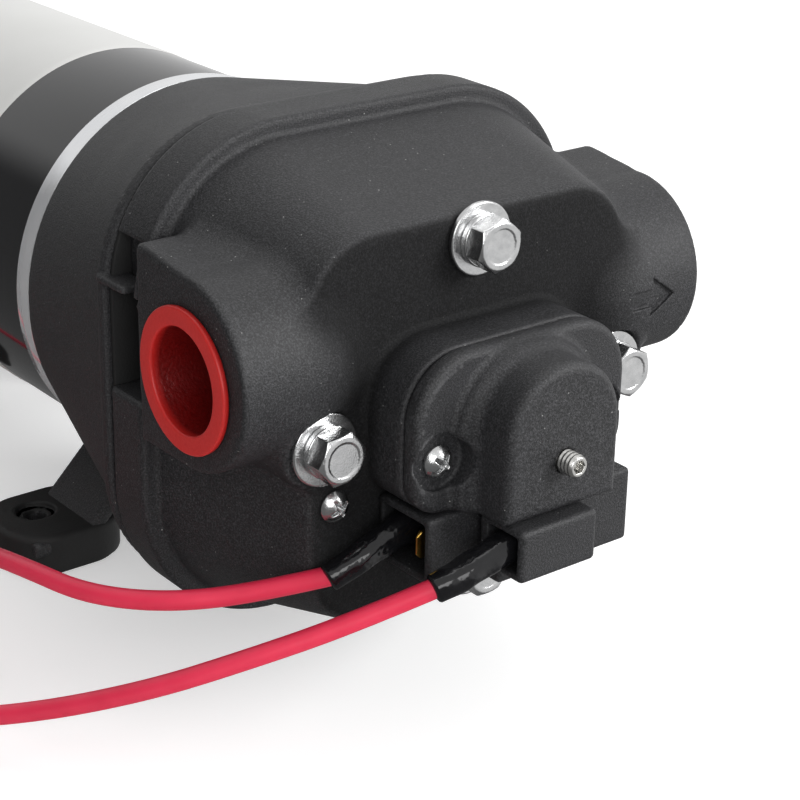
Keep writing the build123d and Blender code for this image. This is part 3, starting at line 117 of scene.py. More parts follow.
class WiringSettings(bpy.types.PropertyGroup):
    """Sizes of the two leads."""
    lead_diameter: FloatProperty(name="Lead diameter", description="Outside diameter of a lead",
                                 default=0.0033, min=0.001, max=0.01, unit="LENGTH", subtype="DISTANCE")
    motor_lead_length: FloatProperty(name="Motor lead", description="Length of the motor lead",
                                     default=0.2313, min=0.05, unit="LENGTH", subtype="DISTANCE")
    supply_lead_length: FloatProperty(name="Supply lead", description="Length of the supply lead",
                                      default=0.4033, min=0.05, unit="LENGTH", subtype="DISTANCE")


# ---------------------------------------------------------------- materials

def linear(value):
    """An sRGB hex colour as linear red, green, blue and alpha."""
    parts = np.array([int(value[i:i + 2], 16) / 255 for i in (0, 2, 4)])
    parts = np.where(parts <= 0.04045, parts / 12.92, ((parts + 0.055) / 1.055) ** 2.4)
    return (*parts.tolist(), 1.0)


def add(tree, kind, inputs=None, **settings):
    """Add one node: settings are its own attributes, inputs its sockets by name or number.

    An input is a value, a socket of another node, or a node, which gives its first socket in use.
    """
    made = tree.nodes.new("ShaderNode" + kind)
    for key, value in settings.items():
        setattr(made, key, value)
    for key, value in (inputs or {}).items():
        if isinstance(value, bpy.types.Node):
            value = next(socket for socket in value.outputs if socket.enabled)
        if isinstance(value, bpy.types.NodeSocket):
            tree.links.new(value, made.inputs[key])
        else:
            made.inputs[key].default_value = value
    return made


def begin(name):
    """A new material with an empty tree: the material, its tree and its Object coordinates."""
    material = bpy.data.materials.new(name)
    material.use_nodes = True
    tree = material.node_tree
    tree.nodes.clear()
    return material, tree, add(tree, "TexCoord").outputs["Object"]


def shaded(material, sockets):
    """The material with its Principled shader, whose sockets are given by name, and its output."""
    tree = material.node_tree
    add(tree, "OutputMaterial", {"Surface": add(tree, "BsdfPrincipled", sockets)})
    return material


def clouded(name, dark, pale, cloud_mm, roughness, grain_mm, grain_depth_mm, metallic=0.0, stretch=None,
            coat=None):
    """A finish whose colour and roughness drift over cloud_mm, with a grain of grain_mm in relief.

    roughness is a range, stretch scales the pattern along X, Y and Z, and coat holds the coat's sockets.
    """
    material, tree, place = begin(name)
    if stretch:
        place = add(tree, "Mapping", {"Vector": place, "Scale": stretch})
    cloud = add(tree, "TexNoise", {"Vector": place, "Scale": 1 / (cloud_mm * MM), "Detail": 4.0})
    grain = add(tree, "TexNoise", {"Vector": place, "Scale": 1 / (grain_mm * MM), "Detail": 2.0})
    least, most = roughness
    return shaded(material, {
        "Base Color": add(tree, "Mix", {"Factor": cloud, 6: linear(dark), 7: linear(pale)},
                          data_type="RGBA"),
        "Roughness": add(tree, "MapRange", {"Value": cloud, "To Min": least, "To Max": most}),
        "Normal": add(tree, "Bump", {"Height": grain, "Strength": 1.0, "Distance": grain_depth_mm * MM}),
        "Metallic": metallic, **(coat or {})})


def glass_filled_nylon():
    """Black glass-filled nylon, moulded: satin, with a fine even grain, pale flecks and dust specks."""
    colours = bpy.context.scene.pump_finish
    material, tree, place = begin("glass_filled_nylon")
    cloud = add(tree, "TexNoise", {"Vector": place, "Scale": 1 / (14 * MM), "Detail": 5.0,
                                   "Roughness": 0.62})
    drift = add(tree, "MapRange", {"Value": cloud, "From Min": 0.3, "From Max": 0.7})
    colour = add(tree, "Mix", {"Factor": drift, 6: linear(colours.nylon), 7: linear(colours.nylon_pale)},
                 data_type="RGBA")
    # The grain's real size isn't known; it is drawn at 0.32 mm, coarse enough to show
    grain = add(tree, "TexNoise", {"Vector": place, "Scale": 1 / (0.32 * MM), "Detail": 3.0,
                                   "Roughness": 0.65})
    fleck = add(tree, "MapRange", {"Value": grain, "From Min": 0.56, "From Max": 0.8, "To Max": 0.3})
    # Dust: the middles of a few cells, fewer where a slow noise is low
    dust = add(tree, "TexVoronoi", {"Vector": place, "Scale": 1 / (1.7 * MM)}, feature="F1")
    near = add(tree, "MapRange", {"Value": dust, "From Min": 0.04, "From Max": 0.085, "To Min": 0.7,
                                  "To Max": 0.0})
    patch = add(tree, "TexNoise", {"Vector": place, "Scale": 1 / (9 * MM), "Detail": 2.0})
    here = add(tree, "MapRange", {"Value": patch, "From Min": 0.48, "From Max": 0.62})
    speck = add(tree, "Math", {0: near, 1: here}, operation="MULTIPLY")
    # Each grain a little paler or darker than its neighbour
    salt = add(tree, "MapRange", {"Value": grain, "From Min": 0.42, "From Max": 0.66, "To Max": 0.3})
    # Paler sharp outer edges on the port face and covers: partly a painted highlight where the edges catch
    # the light, partly wear
    bend = add(tree, "NewGeometry").outputs["Pointiness"]
    sharp = add(tree, "MapRange", {"Value": bend, "From Min": 0.54, "From Max": 0.7, "To Max": 0.3})
    edge_highlight_and_wear = add(tree, "Math", {0: sharp, 1: cloud}, operation="MULTIPLY")
    # Painted shade: the head's flat front, which faces away from the light, is coloured darker than its
    # slopes; it is also drawn more matt
    spot = add(tree, "SeparateXYZ", {0: place})
    aside = add(tree, "Math", {0: spot.outputs["X"]}, operation="ABSOLUTE")
    within = add(tree, "MapRange", {"Value": aside, "From Min": 37 * MM, "From Max": 30 * MM},
                 interpolation_type="SMOOTHSTEP")
    along = spot.outputs["Y"]
    begun = add(tree, "MapRange", {"Value": along, "From Min": -124.2 * MM, "From Max": -124.8 * MM})
    short = add(tree, "MapRange", {"Value": along, "From Min": -129 * MM, "From Max": -126 * MM})
    front = add(tree, "Math", {0: begun, 1: short}, operation="MULTIPLY")
    front = add(tree, "Math", {0: front, 1: within}, operation="MULTIPLY")
    # How far the painted shade darkens the flat front towards black
    painted_front_shade = add(tree, "Math", {0: front, 1: 0.7}, operation="MULTIPLY")
    # The mixes add flecks, dust, grain, the painted highlight and wear on sharp edges, and the painted
    # shade on the flat front
    for share, tone in ((fleck, "58585b"), (speck, "b9b9b6"), (salt, "5c5c5f"), (edge_highlight_and_wear, "a0a0a2"),
                        (painted_front_shade, "050505")):
        colour = add(tree, "Mix", {"Factor": share, 6: colour, 7: linear(tone)}, data_type="RGBA")
    rough = add(tree, "MapRange", {"Value": cloud, "To Min": 0.44, "To Max": 0.62})
    relief = add(tree, "Bump", {"Height": grain, "Strength": 1.0, "Distance": 0.14 * MM})
    return shaded(material, {
        "Base Color": colour,
        "Roughness": add(tree, "Mix", {"Factor": front, 2: rough, 3: 0.78}, data_type="FLOAT"),
        "Specular IOR Level": add(tree, "MapRange", {"Value": front, "To Min": 0.42, "To Max": 0.24}),
        "Normal": add(tree, "Bump", {"Height": cloud, "Strength": 0.5, "Distance": 0.4 * MM,
                                     "Normal": relief})})


def gloss_paint():
    """Black stoving enamel on drawn steel: a deep gloss with very slight orange peel."""
    return clouded("gloss_enamel", bpy.context.scene.pump_finish.paint, "101013", 30, (0.08, 0.13), 2.2,
                   0.012, coat={"Coat Weight": 0.6, "Coat Roughness": 0.05})


def label_vinyl():
    """White vinyl label, calendered: smooth with a slight waviness from the can beneath."""
    return clouded("vinyl_label", bpy.context.scene.pump_finish.label, "e4e4e2", 18, (0.28, 0.36), 6, 0.02)


def plug_plastic():
    """Translucent red polyethylene, moulded: waxy, lets some light through, with a fine pebbled skin."""
    colours = bpy.context.scene.pump_finish
    material, tree, place = begin("red_polyethylene")
    pebble = add(tree, "TexNoise", {"Vector": place, "Scale": 1 / (0.55 * MM), "Detail": 3.0})
    # The hollow, everything inside the rim's face, is stippled, and its colour is darkened there as painted
    # shade inside the cup
    out = add(tree, "SeparateXYZ", {0: place}).outputs["X"]
    out = add(tree, "Math", {0: out}, operation="ABSOLUTE")
    hollow = add(tree, "MapRange", {"Value": out, "From Min": 48.1 * MM, "From Max": 46.5 * MM})
    rim = add(tree, "Mix", {"Factor": pebble, 6: linear(colours.plug), 7: linear("bb1a1a")},
              data_type="RGBA")
    # Painted shade inside the cup: a much darker red
    painted_cup_shade = add(tree, "Mix", {"Factor": pebble, 6: linear("4a0303"), 7: linear("820807")}, data_type="RGBA")
    depth = add(tree, "MapRange", {"Value": hollow, "To Min": 0.04 * MM, "To Max": 0.22 * MM})
    return shaded(material, {
        "Base Color": add(tree, "Mix", {"Factor": hollow, 6: rim, 7: painted_cup_shade}, data_type="RGBA"),
        "Roughness": add(tree, "MapRange", {"Value": pebble, "To Min": 0.3, "To Max": 0.5}),
        "Normal": add(tree, "Bump", {"Height": pebble, "Strength": 0.6, "Distance": depth}),
        "Subsurface Weight": 0.15, "Subsurface Radius": (1.0, 0.12, 0.08), "Subsurface Scale": 1.6 * MM})


def lead_silicone():
    """Soft silicone insulation, extruded: even colour, a low sheen and faint length marks."""
    colours = bpy.context.scene.pump_finish
    material, tree, place = begin("soft_insulation")
    draw = add(tree, "TexNoise", {"Vector": place, "Scale": 1 / (5 * MM), "Detail": 4.0})
    fine = add(tree, "TexNoise", {"Vector": place, "Scale": 1 / (0.7 * MM), "Detail": 2.0})
    return shaded(material, {
        "Base Color": add(tree, "Mix", {"Factor": draw, 6: linear(colours.lead), 7: linear("dc2648")},
                          data_type="RGBA"),
        "Roughness": add(tree, "MapRange", {"Value": draw, "To Min": 0.34, "To Max": 0.46}),
        "Normal": add(tree, "Bump", {"Height": fine, "Strength": 0.4, "Distance": 0.03 * MM}),
        "Subsurface Weight": 0.12, "Subsurface Radius": (1.0, 0.2, 0.25), "Subsurface Scale": 0.6 * MM})


def boot_vinyl():
    """Black dip-moulded vinyl, stretched over its terminal: wet-looking gloss with soft wrinkles."""
    colours = bpy.context.scene.pump_finish
    material, tree, place = begin("dipped_vinyl")
    fold = add(tree, "TexNoise", {"Vector": place, "Scale": 1 / (2.6 * MM), "Detail": 2.0})
    return shaded(material, {
        "Base Color": add(tree, "Mix", {"Factor": fold, 6: linear(colours.boot), 7: linear("161618")},
                          data_type="RGBA"),
        "Roughness": add(tree, "MapRange", {"Value": fold, "To Min": 0.09, "To Max": 0.2}),
        "Normal": add(tree, "Bump", {"Height": fold, "Strength": 0.6, "Distance": 0.5 * MM})})


OWN_FINISHES = {
    "nylon": glass_filled_nylon,
    "paint": gloss_paint,
    "label": label_vinyl,
    "plug": plug_plastic,
    "lead": lead_silicone,
    "boot": boot_vinyl,
}
# Name, dark, pale, cloud in mm, roughness, grain in mm and its depth, and for metals how metallic
CLOUDED_FINISHES = {
    # Bright zinc on steel: pale metal with faint rolling marks and stained hollows
    "zinc": ("bright_zinc", "b4b5b6", "e6e6e6", 1.4, (0.14, 0.34), 0.35, 0.03, 1.0),
    # Chromed strip: a mirror with hair-fine polishing marks
    "chrome": ("chromed_strip", "e6e8ec", "f6f6f6", 6, (0.05, 0.12), 0.8, 0.004, 0.7),
    # Stainless set screw, turned: neutral grey
    "stainless": ("turned_stainless", "b4b3b0", "e2e1de", 1.0, (0.2, 0.34), 0.3, 0.02, 1.0),
    # Brass blade, stamped: yellow with a duller bloom
    "brass": ("stamped_brass", "b98e3c", "dcb765", 1.5, (0.22, 0.38), 0.3, 0.01, 1.0),
    # Copper strands and commutator bars: reddish, with a slightly dull surface
    "copper": ("drawn_copper", "b0784f", "d9a27a", 0.8, (0.25, 0.4), 0.2, 0.01, 1.0),
    # Nitrile rubber, moulded: matt black with bloom
    "rubber": ("moulded_rubber", "0e0e0e", "171717", 7, (0.6, 0.8), 0.5, 0.05),
    # Acetal of the inner mouldings: off-white and smooth
    "acetal": ("moulded_acetal", "d8d7d0", "e6e5df", 9, (0.35, 0.45), 0.6, 0.02),
    # Bearing steel, ground: bright, with a fine even finish
    "bearing": ("bearing_steel", "a9abae", "c6c8ca", 2, (0.14, 0.24), 0.3, 0.006, 1.0),
    # Steel of shaft and hub, machined: greyer and duller than the bearings
    "steel": ("machined_steel", "8e9094", "aeb0b3", 3, (0.26, 0.4), 0.4, 0.02, 1.0),
    # Stacked laminations of the armature: fine plates across the shaft
    "lamination": ("stacked_laminations", "55585c", "85888c", 1.2, (0.35, 0.5), 0.5, 0.03, 1.0,
                   (0.2, 3.0, 0.2)),
    # Enamelled copper wire: dark amber, uneven as the wires cross
    "winding": ("enamelled_wire", "8a4520", "b4622f", 1.0, (0.25, 0.4), 0.6, 0.12, 0.7),
    # Ferrite magnet, pressed: dark grey and matt
    "ferrite": ("pressed_ferrite", "34363a", "46484c", 4, (0.55, 0.7), 0.4, 0.04),
    # Carbon brush, pressed: near black with a dull sheen
    "carbon": ("pressed_carbon", "1b1b1d", "29292b", 1.5, (0.5, 0.65), 0.3, 0.03),
    # Phenolic board of the brush holder: brown and matt
    "board": ("phenolic_board", "4b2f1b", "5e3c23", 5, (0.45, 0.6), 0.5, 0.03),
    # Music wire of the springs: bright, drawn steel
    "spring": ("spring_wire", "8b8d8f", "b4b6b8", 1, (0.2, 0.3), 0.3, 0.01, 1.0),
}
made_finishes = {}


def finish(name):
    """The material of that name, made the first time that it is asked for."""
    if name not in made_finishes:
        own = OWN_FINISHES.get(name)
        made_finishes[name] = own() if own else clouded(*CLOUDED_FINISHES[name])
    return made_finishes[name]


# ---------------------------------------------------------------- surfaces

def piece(name, points, faces, finish_name, body="pump", stands_for=()):
    """A finished piece from points in millimetres; it rides on a body and may stand for CAD nodes."""
    mesh = bpy.data.meshes.new(name)
    mesh.from_pydata((np.asarray(points, float) * MM).tolist(), [], [list(f) for f in faces])
    mesh.polygons.foreach_set("use_smooth", [True] * len(mesh.polygons))
    mesh.materials.append(finish(finish_name))
    mesh.update()
    made = bpy.data.objects.new(name, mesh)
    bpy.context.scene.collection.objects.link(made)
    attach(made, body)
    if stands_for:
        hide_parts(*stands_for)
    return made


def marks(low, high, pitch, fine):
    """Grid stations along one axis, at a third of the pitch inside the fine range."""
    stations = np.arange(low - 1.5 * pitch, high + 2.5 * pitch, pitch)
    if fine:
        inner = np.arange(*fine, pitch / 3)
        stations = np.concatenate([stations[stations < fine[0] - pitch / 4], inner,
                                   stations[stations > inner[-1] + pitch / 4]])
    return stations


def skin(field, low, high, pitch, fine=(None, None, None)):
    """Points and quads of the surface where a distance field is nought, inside a box.

    Each grid cell that the surface crosses gets one point, the mean of its edge crossings, which then
    slides along the field's slope onto the surface. Each grid edge that it crosses gets one quad.
    """
    spans = [marks(a, b, pitch, f) for a, b, f in zip(low, high, fine)]
    value = np.broadcast_to(field(*np.meshgrid(*spans, indexing="ij", sparse=True)),
                            [len(s) for s in spans]).astype(np.float32)
    inside = value < 0
    cells = [n - 1 for n in value.shape]

    def corner(array, shift):
        return array[tuple(slice(s, s + n) for s, n in zip(shift, cells))]

    corners = [(i, j, k) for i in (0, 1) for j in (0, 1) for k in (0, 1)]
    count = sum(corner(inside, c).astype(np.int8) for c in corners)
    mixed = (count > 0) & (count < 8)
    number = np.full(mixed.shape, -1)
    number[mixed] = np.arange(int(mixed.sum()))
    total = np.zeros((int(mixed.sum()), 3))
    hits = np.zeros(len(total))
    for axis in range(3):
        for shift in (c for c in corners if c[axis] == 0):
            beyond = tuple(s + (i == axis) for i, s in enumerate(shift))
            first, second = corner(value, shift)[mixed], corner(value, beyond)[mixed]
            crossed = (first < 0) != (second < 0)
            share = np.where(crossed, first / np.where(crossed, first - second, 1), 0)
            spot = np.array(shift, float)[None, :] + share[:, None] * np.eye(3)[axis]
            total += spot * crossed[:, None]
            hits += crossed
    spot = np.argwhere(mixed) + total / hits[:, None]
    points = np.stack([np.interp(spot[:, a], np.arange(len(spans[a])), spans[a]) for a in range(3)], 1)
    for _ in range(3):
        here = field(*points.T)
        step = pitch * 0.05
        slope = np.stack([field(*(points + step * np.eye(3)[a]).T) - here for a in range(3)], 1) / step
        move = here[:, None] * slope / np.maximum((slope ** 2).sum(1), 0.05)[:, None]
        points -= np.clip(move, -0.5 * pitch, 0.5 * pitch)
    quads = []
    for axis in range(3):
        side, other = (axis + 1) % 3, (axis + 2) % 3
        unit = np.eye(3, dtype=int)
        start = tuple(0 if i == axis else 1 for i in range(3))
        size = tuple(n - 1 if i == axis else n - 2 for i, n in enumerate(value.shape))
        a = inside[tuple(slice(s, s + n) for s, n in zip(start, size))]
        b = inside[tuple(slice(s + (i == axis), s + (i == axis) + n)
                         for i, (s, n) in enumerate(zip(start, size)))]
        edge = np.argwhere(a != b) + np.array(start)
        outward = inside[tuple(edge.T)]
        round_edge = [number[tuple((edge - p * unit[side] - q * unit[other]).T)]
                      for p, q in ((1, 1), (0, 1), (0, 0), (1, 0))]
        ring = np.stack(round_edge, 1)
        quads.append(np.where(outward[:, None], ring, ring[:, ::-1]))
    return points, np.concatenate(quads)


def raised(points):
    """Points whose height counts from the motor axis, moved to the model's frame."""
    return points + np.array([0, 0, AXIS_HEIGHT])


def formed(name, field, low, high, pitch, finish_name, node, body="pump", fine=(None, None, None)):
    """The piece of a field whose height counts from the motor axis; it stands for one CAD node."""
    points, quads = skin(field, low, high, pitch, fine)
    piece(name, raised(points), quads, finish_name, body=body, stands_for=[node])


def tube_faces(rows, columns, closed_rows=False):
    """Quads of a grid whose columns join up; its rows may join up as well."""
    r, c = np.meshgrid(np.arange(rows if closed_rows else rows - 1), np.arange(columns), indexing="ij")
    here, beyond = r * columns, (r + 1) % rows * columns
    c2 = (c + 1) % columns
    return np.stack([here + c, here + c2, beyond + c2, beyond + c], -1).reshape(-1, 4)


def softened(outline, edge):
    """A closed outline with each corner replaced by a short parabola that starts edge before it."""
    p = np.asarray(outline, float)
    before, after = np.roll(p, 1, 0) - p, np.roll(p, -1, 0) - p
    reach = [np.minimum(edge / np.maximum(np.linalg.norm(v, axis=1), 1e-9), 0.45)[:, None] * v
             for v in (before, after)]
    t = np.linspace(0, 1, 5)[None, :, None]
    start, end = p + reach[0], p + reach[1]
    bent = (1 - t) ** 2 * start[:, None] + 2 * t * (1 - t) * p[:, None] + t ** 2 * end[:, None]
    return bent.reshape(-1, 2)


def banded(half_x, half_h, corner, rows, around=40):
    """A closed band swept round a rounded rectangle; each row is (inset, y)."""
    angle = (np.arange(4 * around) + 0.5) * np.pi / (2 * around)
    rings = []
    for inset, y in rows:
        reach = max(corner - inset, 0.5)
        c, s = np.cos(angle), np.sin(angle)
        rings.append(np.stack([np.sign(c) * (half_x - inset - reach) + reach * c, np.full(4 * around, y),
                               np.sign(s) * (half_h - inset - reach) + reach * s], 1))
    return np.concatenate(rings), tube_faces(len(rows), 4 * around, closed_rows=True)


def lathe(outline, segments):
    """A closed (y, radius) outline turned about the motor axis, which the outline goes round clockwise."""
    outline = np.asarray(outline, float)
    angle = np.linspace(0, 2 * np.pi, segments, endpoint=False)
    y, radius = outline[:, 0, None], outline[:, 1, None]
    grid = np.stack([radius * np.cos(angle), np.broadcast_to(y, (len(outline), segments)),
                     radius * np.sin(angle) + AXIS_HEIGHT], -1)
    return grid.reshape(-1, 3), tube_faces(len(outline), segments, closed_rows=True)


def carried(points, origin, way):
    """Points turned about the motor axis, carried so that their Y runs from an origin along a way."""
    way = np.asarray(way, float) / np.linalg.norm(way)
    side = np.cross(way, [0, 1.0, 0])
    side /= np.linalg.norm(side)
    basis = np.stack([side, way, np.cross(side, way)])
    return (points - np.array([0, 0, AXIS_HEIGHT])) @ basis + np.asarray(origin, float)


# ---------------------------------------------------------------- distance fields

def meet(a, b, edge):
    """Inside both fields, with a round edge where they cross."""
    return np.minimum(np.maximum(a, b), -edge) + np.hypot(np.maximum(a + edge, 0), np.maximum(b + edge, 0))


def join(a, b, fillet):
    """Inside either field, with a round fillet where they cross."""
    gap_a, gap_b = np.maximum(fillet - a, 0), np.maximum(fillet - b, 0)
    return np.maximum(np.minimum(a, b), fillet) - np.hypot(gap_a, gap_b)


def cut(a, b, edge):
    """The first field without the second, with a round edge."""
    return meet(a, -b, edge)


def plate(a, b, half_a, half_b, corner):
    """Distance to a rounded rectangle, grown from its inner rectangle by the corner's radius."""
    qa, qb = np.abs(a) - half_a + corner, np.abs(b) - half_b + corner
    return np.hypot(np.maximum(qa, 0), np.maximum(qb, 0)) + np.minimum(np.maximum(qa, qb), 0) - corner


def between(value, low, high):
    """Distance to the space between two values."""
    return np.maximum(low - value, value - high)


def block(x, y, h, x_range, y_range, h_range, edge):
    """Distance to a block with round edges, from its ranges."""
    parts = [np.abs(v - (r[0] + r[1]) / 2) - abs(r[1] - r[0]) / 2 + edge
             for v, r in ((x, x_range), (y, y_range), (h, h_range))]
    outer = np.sqrt(sum(np.maximum(p, 0) ** 2 for p in parts))
    return outer + np.minimum(np.maximum(np.maximum(parts[0], parts[1]), parts[2]), 0) - edge


def arched(x, h, half_width, bottom, top, top_corner, bottom_corner):
    """Distance to the switch's outline: a rectangle with larger corners above than below."""
    middle = (top + bottom) / 2
    corner = np.where(h > middle, top_corner, bottom_corner)
    return plate(x, h - middle, half_width, (top - bottom) / 2, corner)


def polygon(a, b, corners):
    """Distance to a polygon, minus inside it."""
    p = np.asarray(corners, float)
    nearest, inside = np.full(np.broadcast(a, b).shape, 1e9), np.zeros(np.broadcast(a, b).shape, bool)
    for (a0, b0), (a1, b1) in zip(p, np.roll(p, -1, 0)):
        run_a, run_b = a1 - a0, b1 - b0
        share = np.clip(((a - a0) * run_a + (b - b0) * run_b) / (run_a ** 2 + run_b ** 2), 0, 1)
        nearest = np.minimum(nearest, np.hypot(a - a0 - share * run_a, b - b0 - share * run_b))
        if b0 != b1:
            inside = inside ^ (((b0 > b) != (b1 > b)) & (a < run_a * (b - b0) / run_b + a0))
    return np.where(inside, -nearest, nearest)


def slot_mouth(side, y, h):
    """The clip slot in each side of the head, and the gap above its shelf."""
    slot = np.maximum(np.maximum(38.5 - side, between(y, -99, -80)), between(h, 1.0, 18.5))
    gap = np.maximum(np.maximum(40.5 - side, between(y, -94.5, -80)), between(h, 18.4, 27.2))
    return np.minimum(slot, gap)


# The flow arrow's outline in X and height, and the radius about the boss that it is sunk to
ARROW_FLOOR = 15.2
ARROW = [(32, 9.9), (36.4, 9.9), (36.4, 7.9), (41.3, 11.5), (36.4, 15.1), (36.4, 13.1), (32, 13.1)]


def head_field(x, y, h):
    """The head cover: rim, slopes to the plateau, port bosses and switch boss; its sides cut by slots."""
    sizes = bpy.context.scene.pump_moulding
    rim = meet(plate(x, h, *HEAD_RIM), between(y, RIM_FRONT, SEAM_FRONT), 0.8)
    t = np.clip((RIM_FRONT - y) / (RIM_FRONT - PLATEAU), 0, 1)
    slope = plate(x, h, 42.3 - 10.0 * t, 41.1 - 8.1 * t, 24.6 - 12.6 * t) * 0.94
    body = join(rim, meet(slope, between(y, PLATEAU, -90), sizes.plateau_edge), 0.25)
    for place_x, place_h in BOLT_PLACES[2:]:
        pad = meet(np.hypot(x - place_x, h - place_h) - 7.2, between(y, PLATEAU, -112), 0.5)
        body = join(body, pad, 1.2)
    side = np.abs(x)
    off_y, off_h = y - BOSS_Y, h - BOSS_RISE
    circle = np.hypot(off_y, off_h) - BOSS_RADIUS
    shoulder = np.maximum(np.maximum(y + 99, BOSS_Y - y), -3.5 - h)
    roof = (h - 28.3) - off_y * (1.7 / 13.8)
    outline = np.minimum(circle, meet(shoulder, roof, 1.6))
    straight = meet(outline, between(side, BOSS_ROOT, PORT_REACH), 0.7)
    ball = np.sqrt((side - BOSS_ROOT) ** 2 + off_y ** 2 + off_h ** 2) - BOSS_RADIUS
    ball = np.maximum(ball, side - 40)
    body = join(body, np.minimum(straight, ball), sizes.boss_fillet)
    switch_boss = meet(arched(x, h, *SWITCH_OUTLINE), between(y, PLATEAU - 9, PLATEAU + 4), 0.35)
    body = join(body, switch_boss, 1.2)
    for place_x, place_h in BOLT_PLACES:
        body = cut(body, meet(np.hypot(x - place_x, h - place_h) - 6.4, y - PLATEAU, 0.05), 0.3)
    body = cut(body, slot_mouth(side, y, h), 0.45)
    arrow = np.maximum(polygon(x, h, ARROW), ARROW_FLOOR - np.hypot(off_y, off_h))
    body = np.maximum(body, -np.maximum(arrow, y + 122))
    bore = np.maximum(np.hypot(y - PORT_Y, h - PORT_RISE) - 10.5, 34.5 - side)
    return cut(body, bore, 0.5)


def housing_field(x, y, h):
    """The drive housing: a thin flange at the seam, then a body that runs from that shape to a circle."""
    flange = meet(plate(x, h, *HOUSING_FLANGE), between(y, SEAM_BACK, -83.0), 0.5)
    t = np.clip((y + 83) / 39.6, 0, 1)
    shell = plate(x, h, 44.4 - 7.8 * t, 41 - 4.4 * t, 28 + 8.55 * t) * 0.97
    body = join(flange, meet(shell, between(y, -84.5, -43.4), 0.5), 0.7)
    # The shelf over each clip slot stands on the flange and reaches forward into the head's gap
    shelf = block(np.abs(x), y, h, (40.7, 45.7), (-92.5, -84), (18.6, 19.9), 0.3)
    body = np.minimum(body, shelf)
    body = np.maximum(body, -np.maximum(np.hypot(x, h) - 33, between(y, -87, -47.6)))
    return np.maximum(body, 11 - np.hypot(x, h))


def base_field(x, y, h):
    """The saddle base: a cradle on two pairs of sloping legs that end in flat tabs."""
    legs = [(0, -31.5), (17.7, -31.5), (17.7, -37.8), (27.4, -47.5), (38.5, -47.5), (38.5, -50.5),
            (26.15, -50.5), (16.45, -40.8), (0, -40.8)]
    section = polygon(np.abs(x), h, legs)
    body = meet(section, np.abs(np.abs(y) - 36.2) - 8.8, 0.7)
    spine = meet(np.maximum(np.abs(x) - 6, between(h, -40.8, -31.5)), np.abs(y) - 36.2, 0.6)
    body = np.minimum(body, spine)
    around = np.hypot(x, h)
    body = np.maximum(body, 36.1 - around)
    body = np.maximum(body, -np.maximum(around - 36.9, y + 38.3))
    hole = np.hypot(np.abs(x) - BASE_HOLE[0], np.abs(y) - BASE_HOLE[1]) - 2.2
    return cut(body, hole, 0.3)


def foot_field(x, y, h):
    """One rubber foot at its own middle: a rounded pad, a screw's counterbore and a ribbed underside."""
    pad = meet(plate(x, y, 12.5, 10.6, 9.0), between(h, 0, 8.5), 1.3)
    hole = np.hypot(x - 2.8, y + 1.8)
    pad = cut(pad, np.maximum(hole - 3.9, 7.5 - h), 0.35)
    pad = cut(pad, np.maximum(hole - 2.2, h - 20), 0.2)
    rings = np.abs(np.hypot(x * 0.82, y) % 3.2 - 1.6) - 0.4
    return np.maximum(pad, -np.maximum(rings, h - 0.6))


def blade_field(x, y, h):
    """One flat blade terminal, its tip at x 0 towards -X: bevelled tip and a hole."""
    blade = meet(np.maximum(np.abs(h) - 2.375, between(x, 0, 11.5)), np.abs(y) - 0.4, 0.12)
    tip = (np.abs(h) - 1.5 - x) * 0.7071
    blade = np.maximum(blade, np.maximum(tip, (np.abs(y) - 0.12 - 0.35 * x) * 0.94))
    return cut(blade, np.hypot(x - 2.6, h) - 0.85, 0.1)


def dome_screw_field(x, y, h):
    """A motor bolt's head: a low dome with a straight slot, its seat at y 0 and its top at y 2.2."""
    radius = np.hypot(x, h)
    head = meet(radius - 3.6, between(y, -6, 2.2), 0.2)
    head = np.maximum(head, np.sqrt(x ** 2 + (y + 3.0) ** 2 + h ** 2) - 5.2)
    return cut(head, np.maximum(np.abs(h) - 0.45, 1.1 - y), 0.1)


def end_cap_field(x, y, h):
    """The motor's rear cap: a moulded disc with a raised rim, a bearing boss and ribs between them."""
    radius = np.hypot(x, h)
    cap = meet(radius - CAN_RADIUS, between(y, CAP_FRONT, CAP_BACK), 2.4)
    floor = np.maximum(between(radius, 10.5, 32), 72.4 - y)
    spoke = np.minimum(np.minimum(np.abs(x), np.abs(h)), np.abs(np.abs(x) - np.abs(h)) * 0.7071) - 1.1
    pads = np.hypot(x, np.abs(h) - MOTOR_BOLT_RISE) - 4.8
    cap = cut(cap, np.maximum(floor, -np.minimum(spoke, pads)), 0.35)
    seam = np.maximum(35.6 - radius, between(y, 61.9, 62.5))
    cap = np.maximum(cap, -seam)
    cap = np.maximum(cap, -np.maximum(radius - 34, y - 70.4))
    return cut(cap, np.maximum(radius - 4.3, 60 - y), 0.3)


def cover_field(x, y, h):
    """The pressure switch's cover: arched flange, shoulder and dome, with a pocket for each screw."""
    flange = meet(arched(x, h, *SWITCH_OUTLINE), between(y, -137.6, -134.0), 1.3)
    shoulder = meet(arched(x, h, 14.4, -10.5, 15.0, 13.4, 1.5), between(y, -139.6, -135.0), 1.2)
    dome = meet(arched(x, h, 11.6, -10.5, 14.3, 11.55, 0.6), between(y, -147.7, -135.0), 1.6)
    body = join(join(flange, shoulder, 1.4), dome, 2.0)
    for place_x, place_h in COVER_SCREW_PLACES:
        pocket = np.maximum(np.hypot(x - place_x, h - place_h) - 4.8, y - COVER_SCREW_SEAT)
        body = cut(body, pocket, 0.3)
    return cut(body, np.maximum(np.hypot(x, h - SWITCH_RISE) - 2.05, y + 140), 0.15)


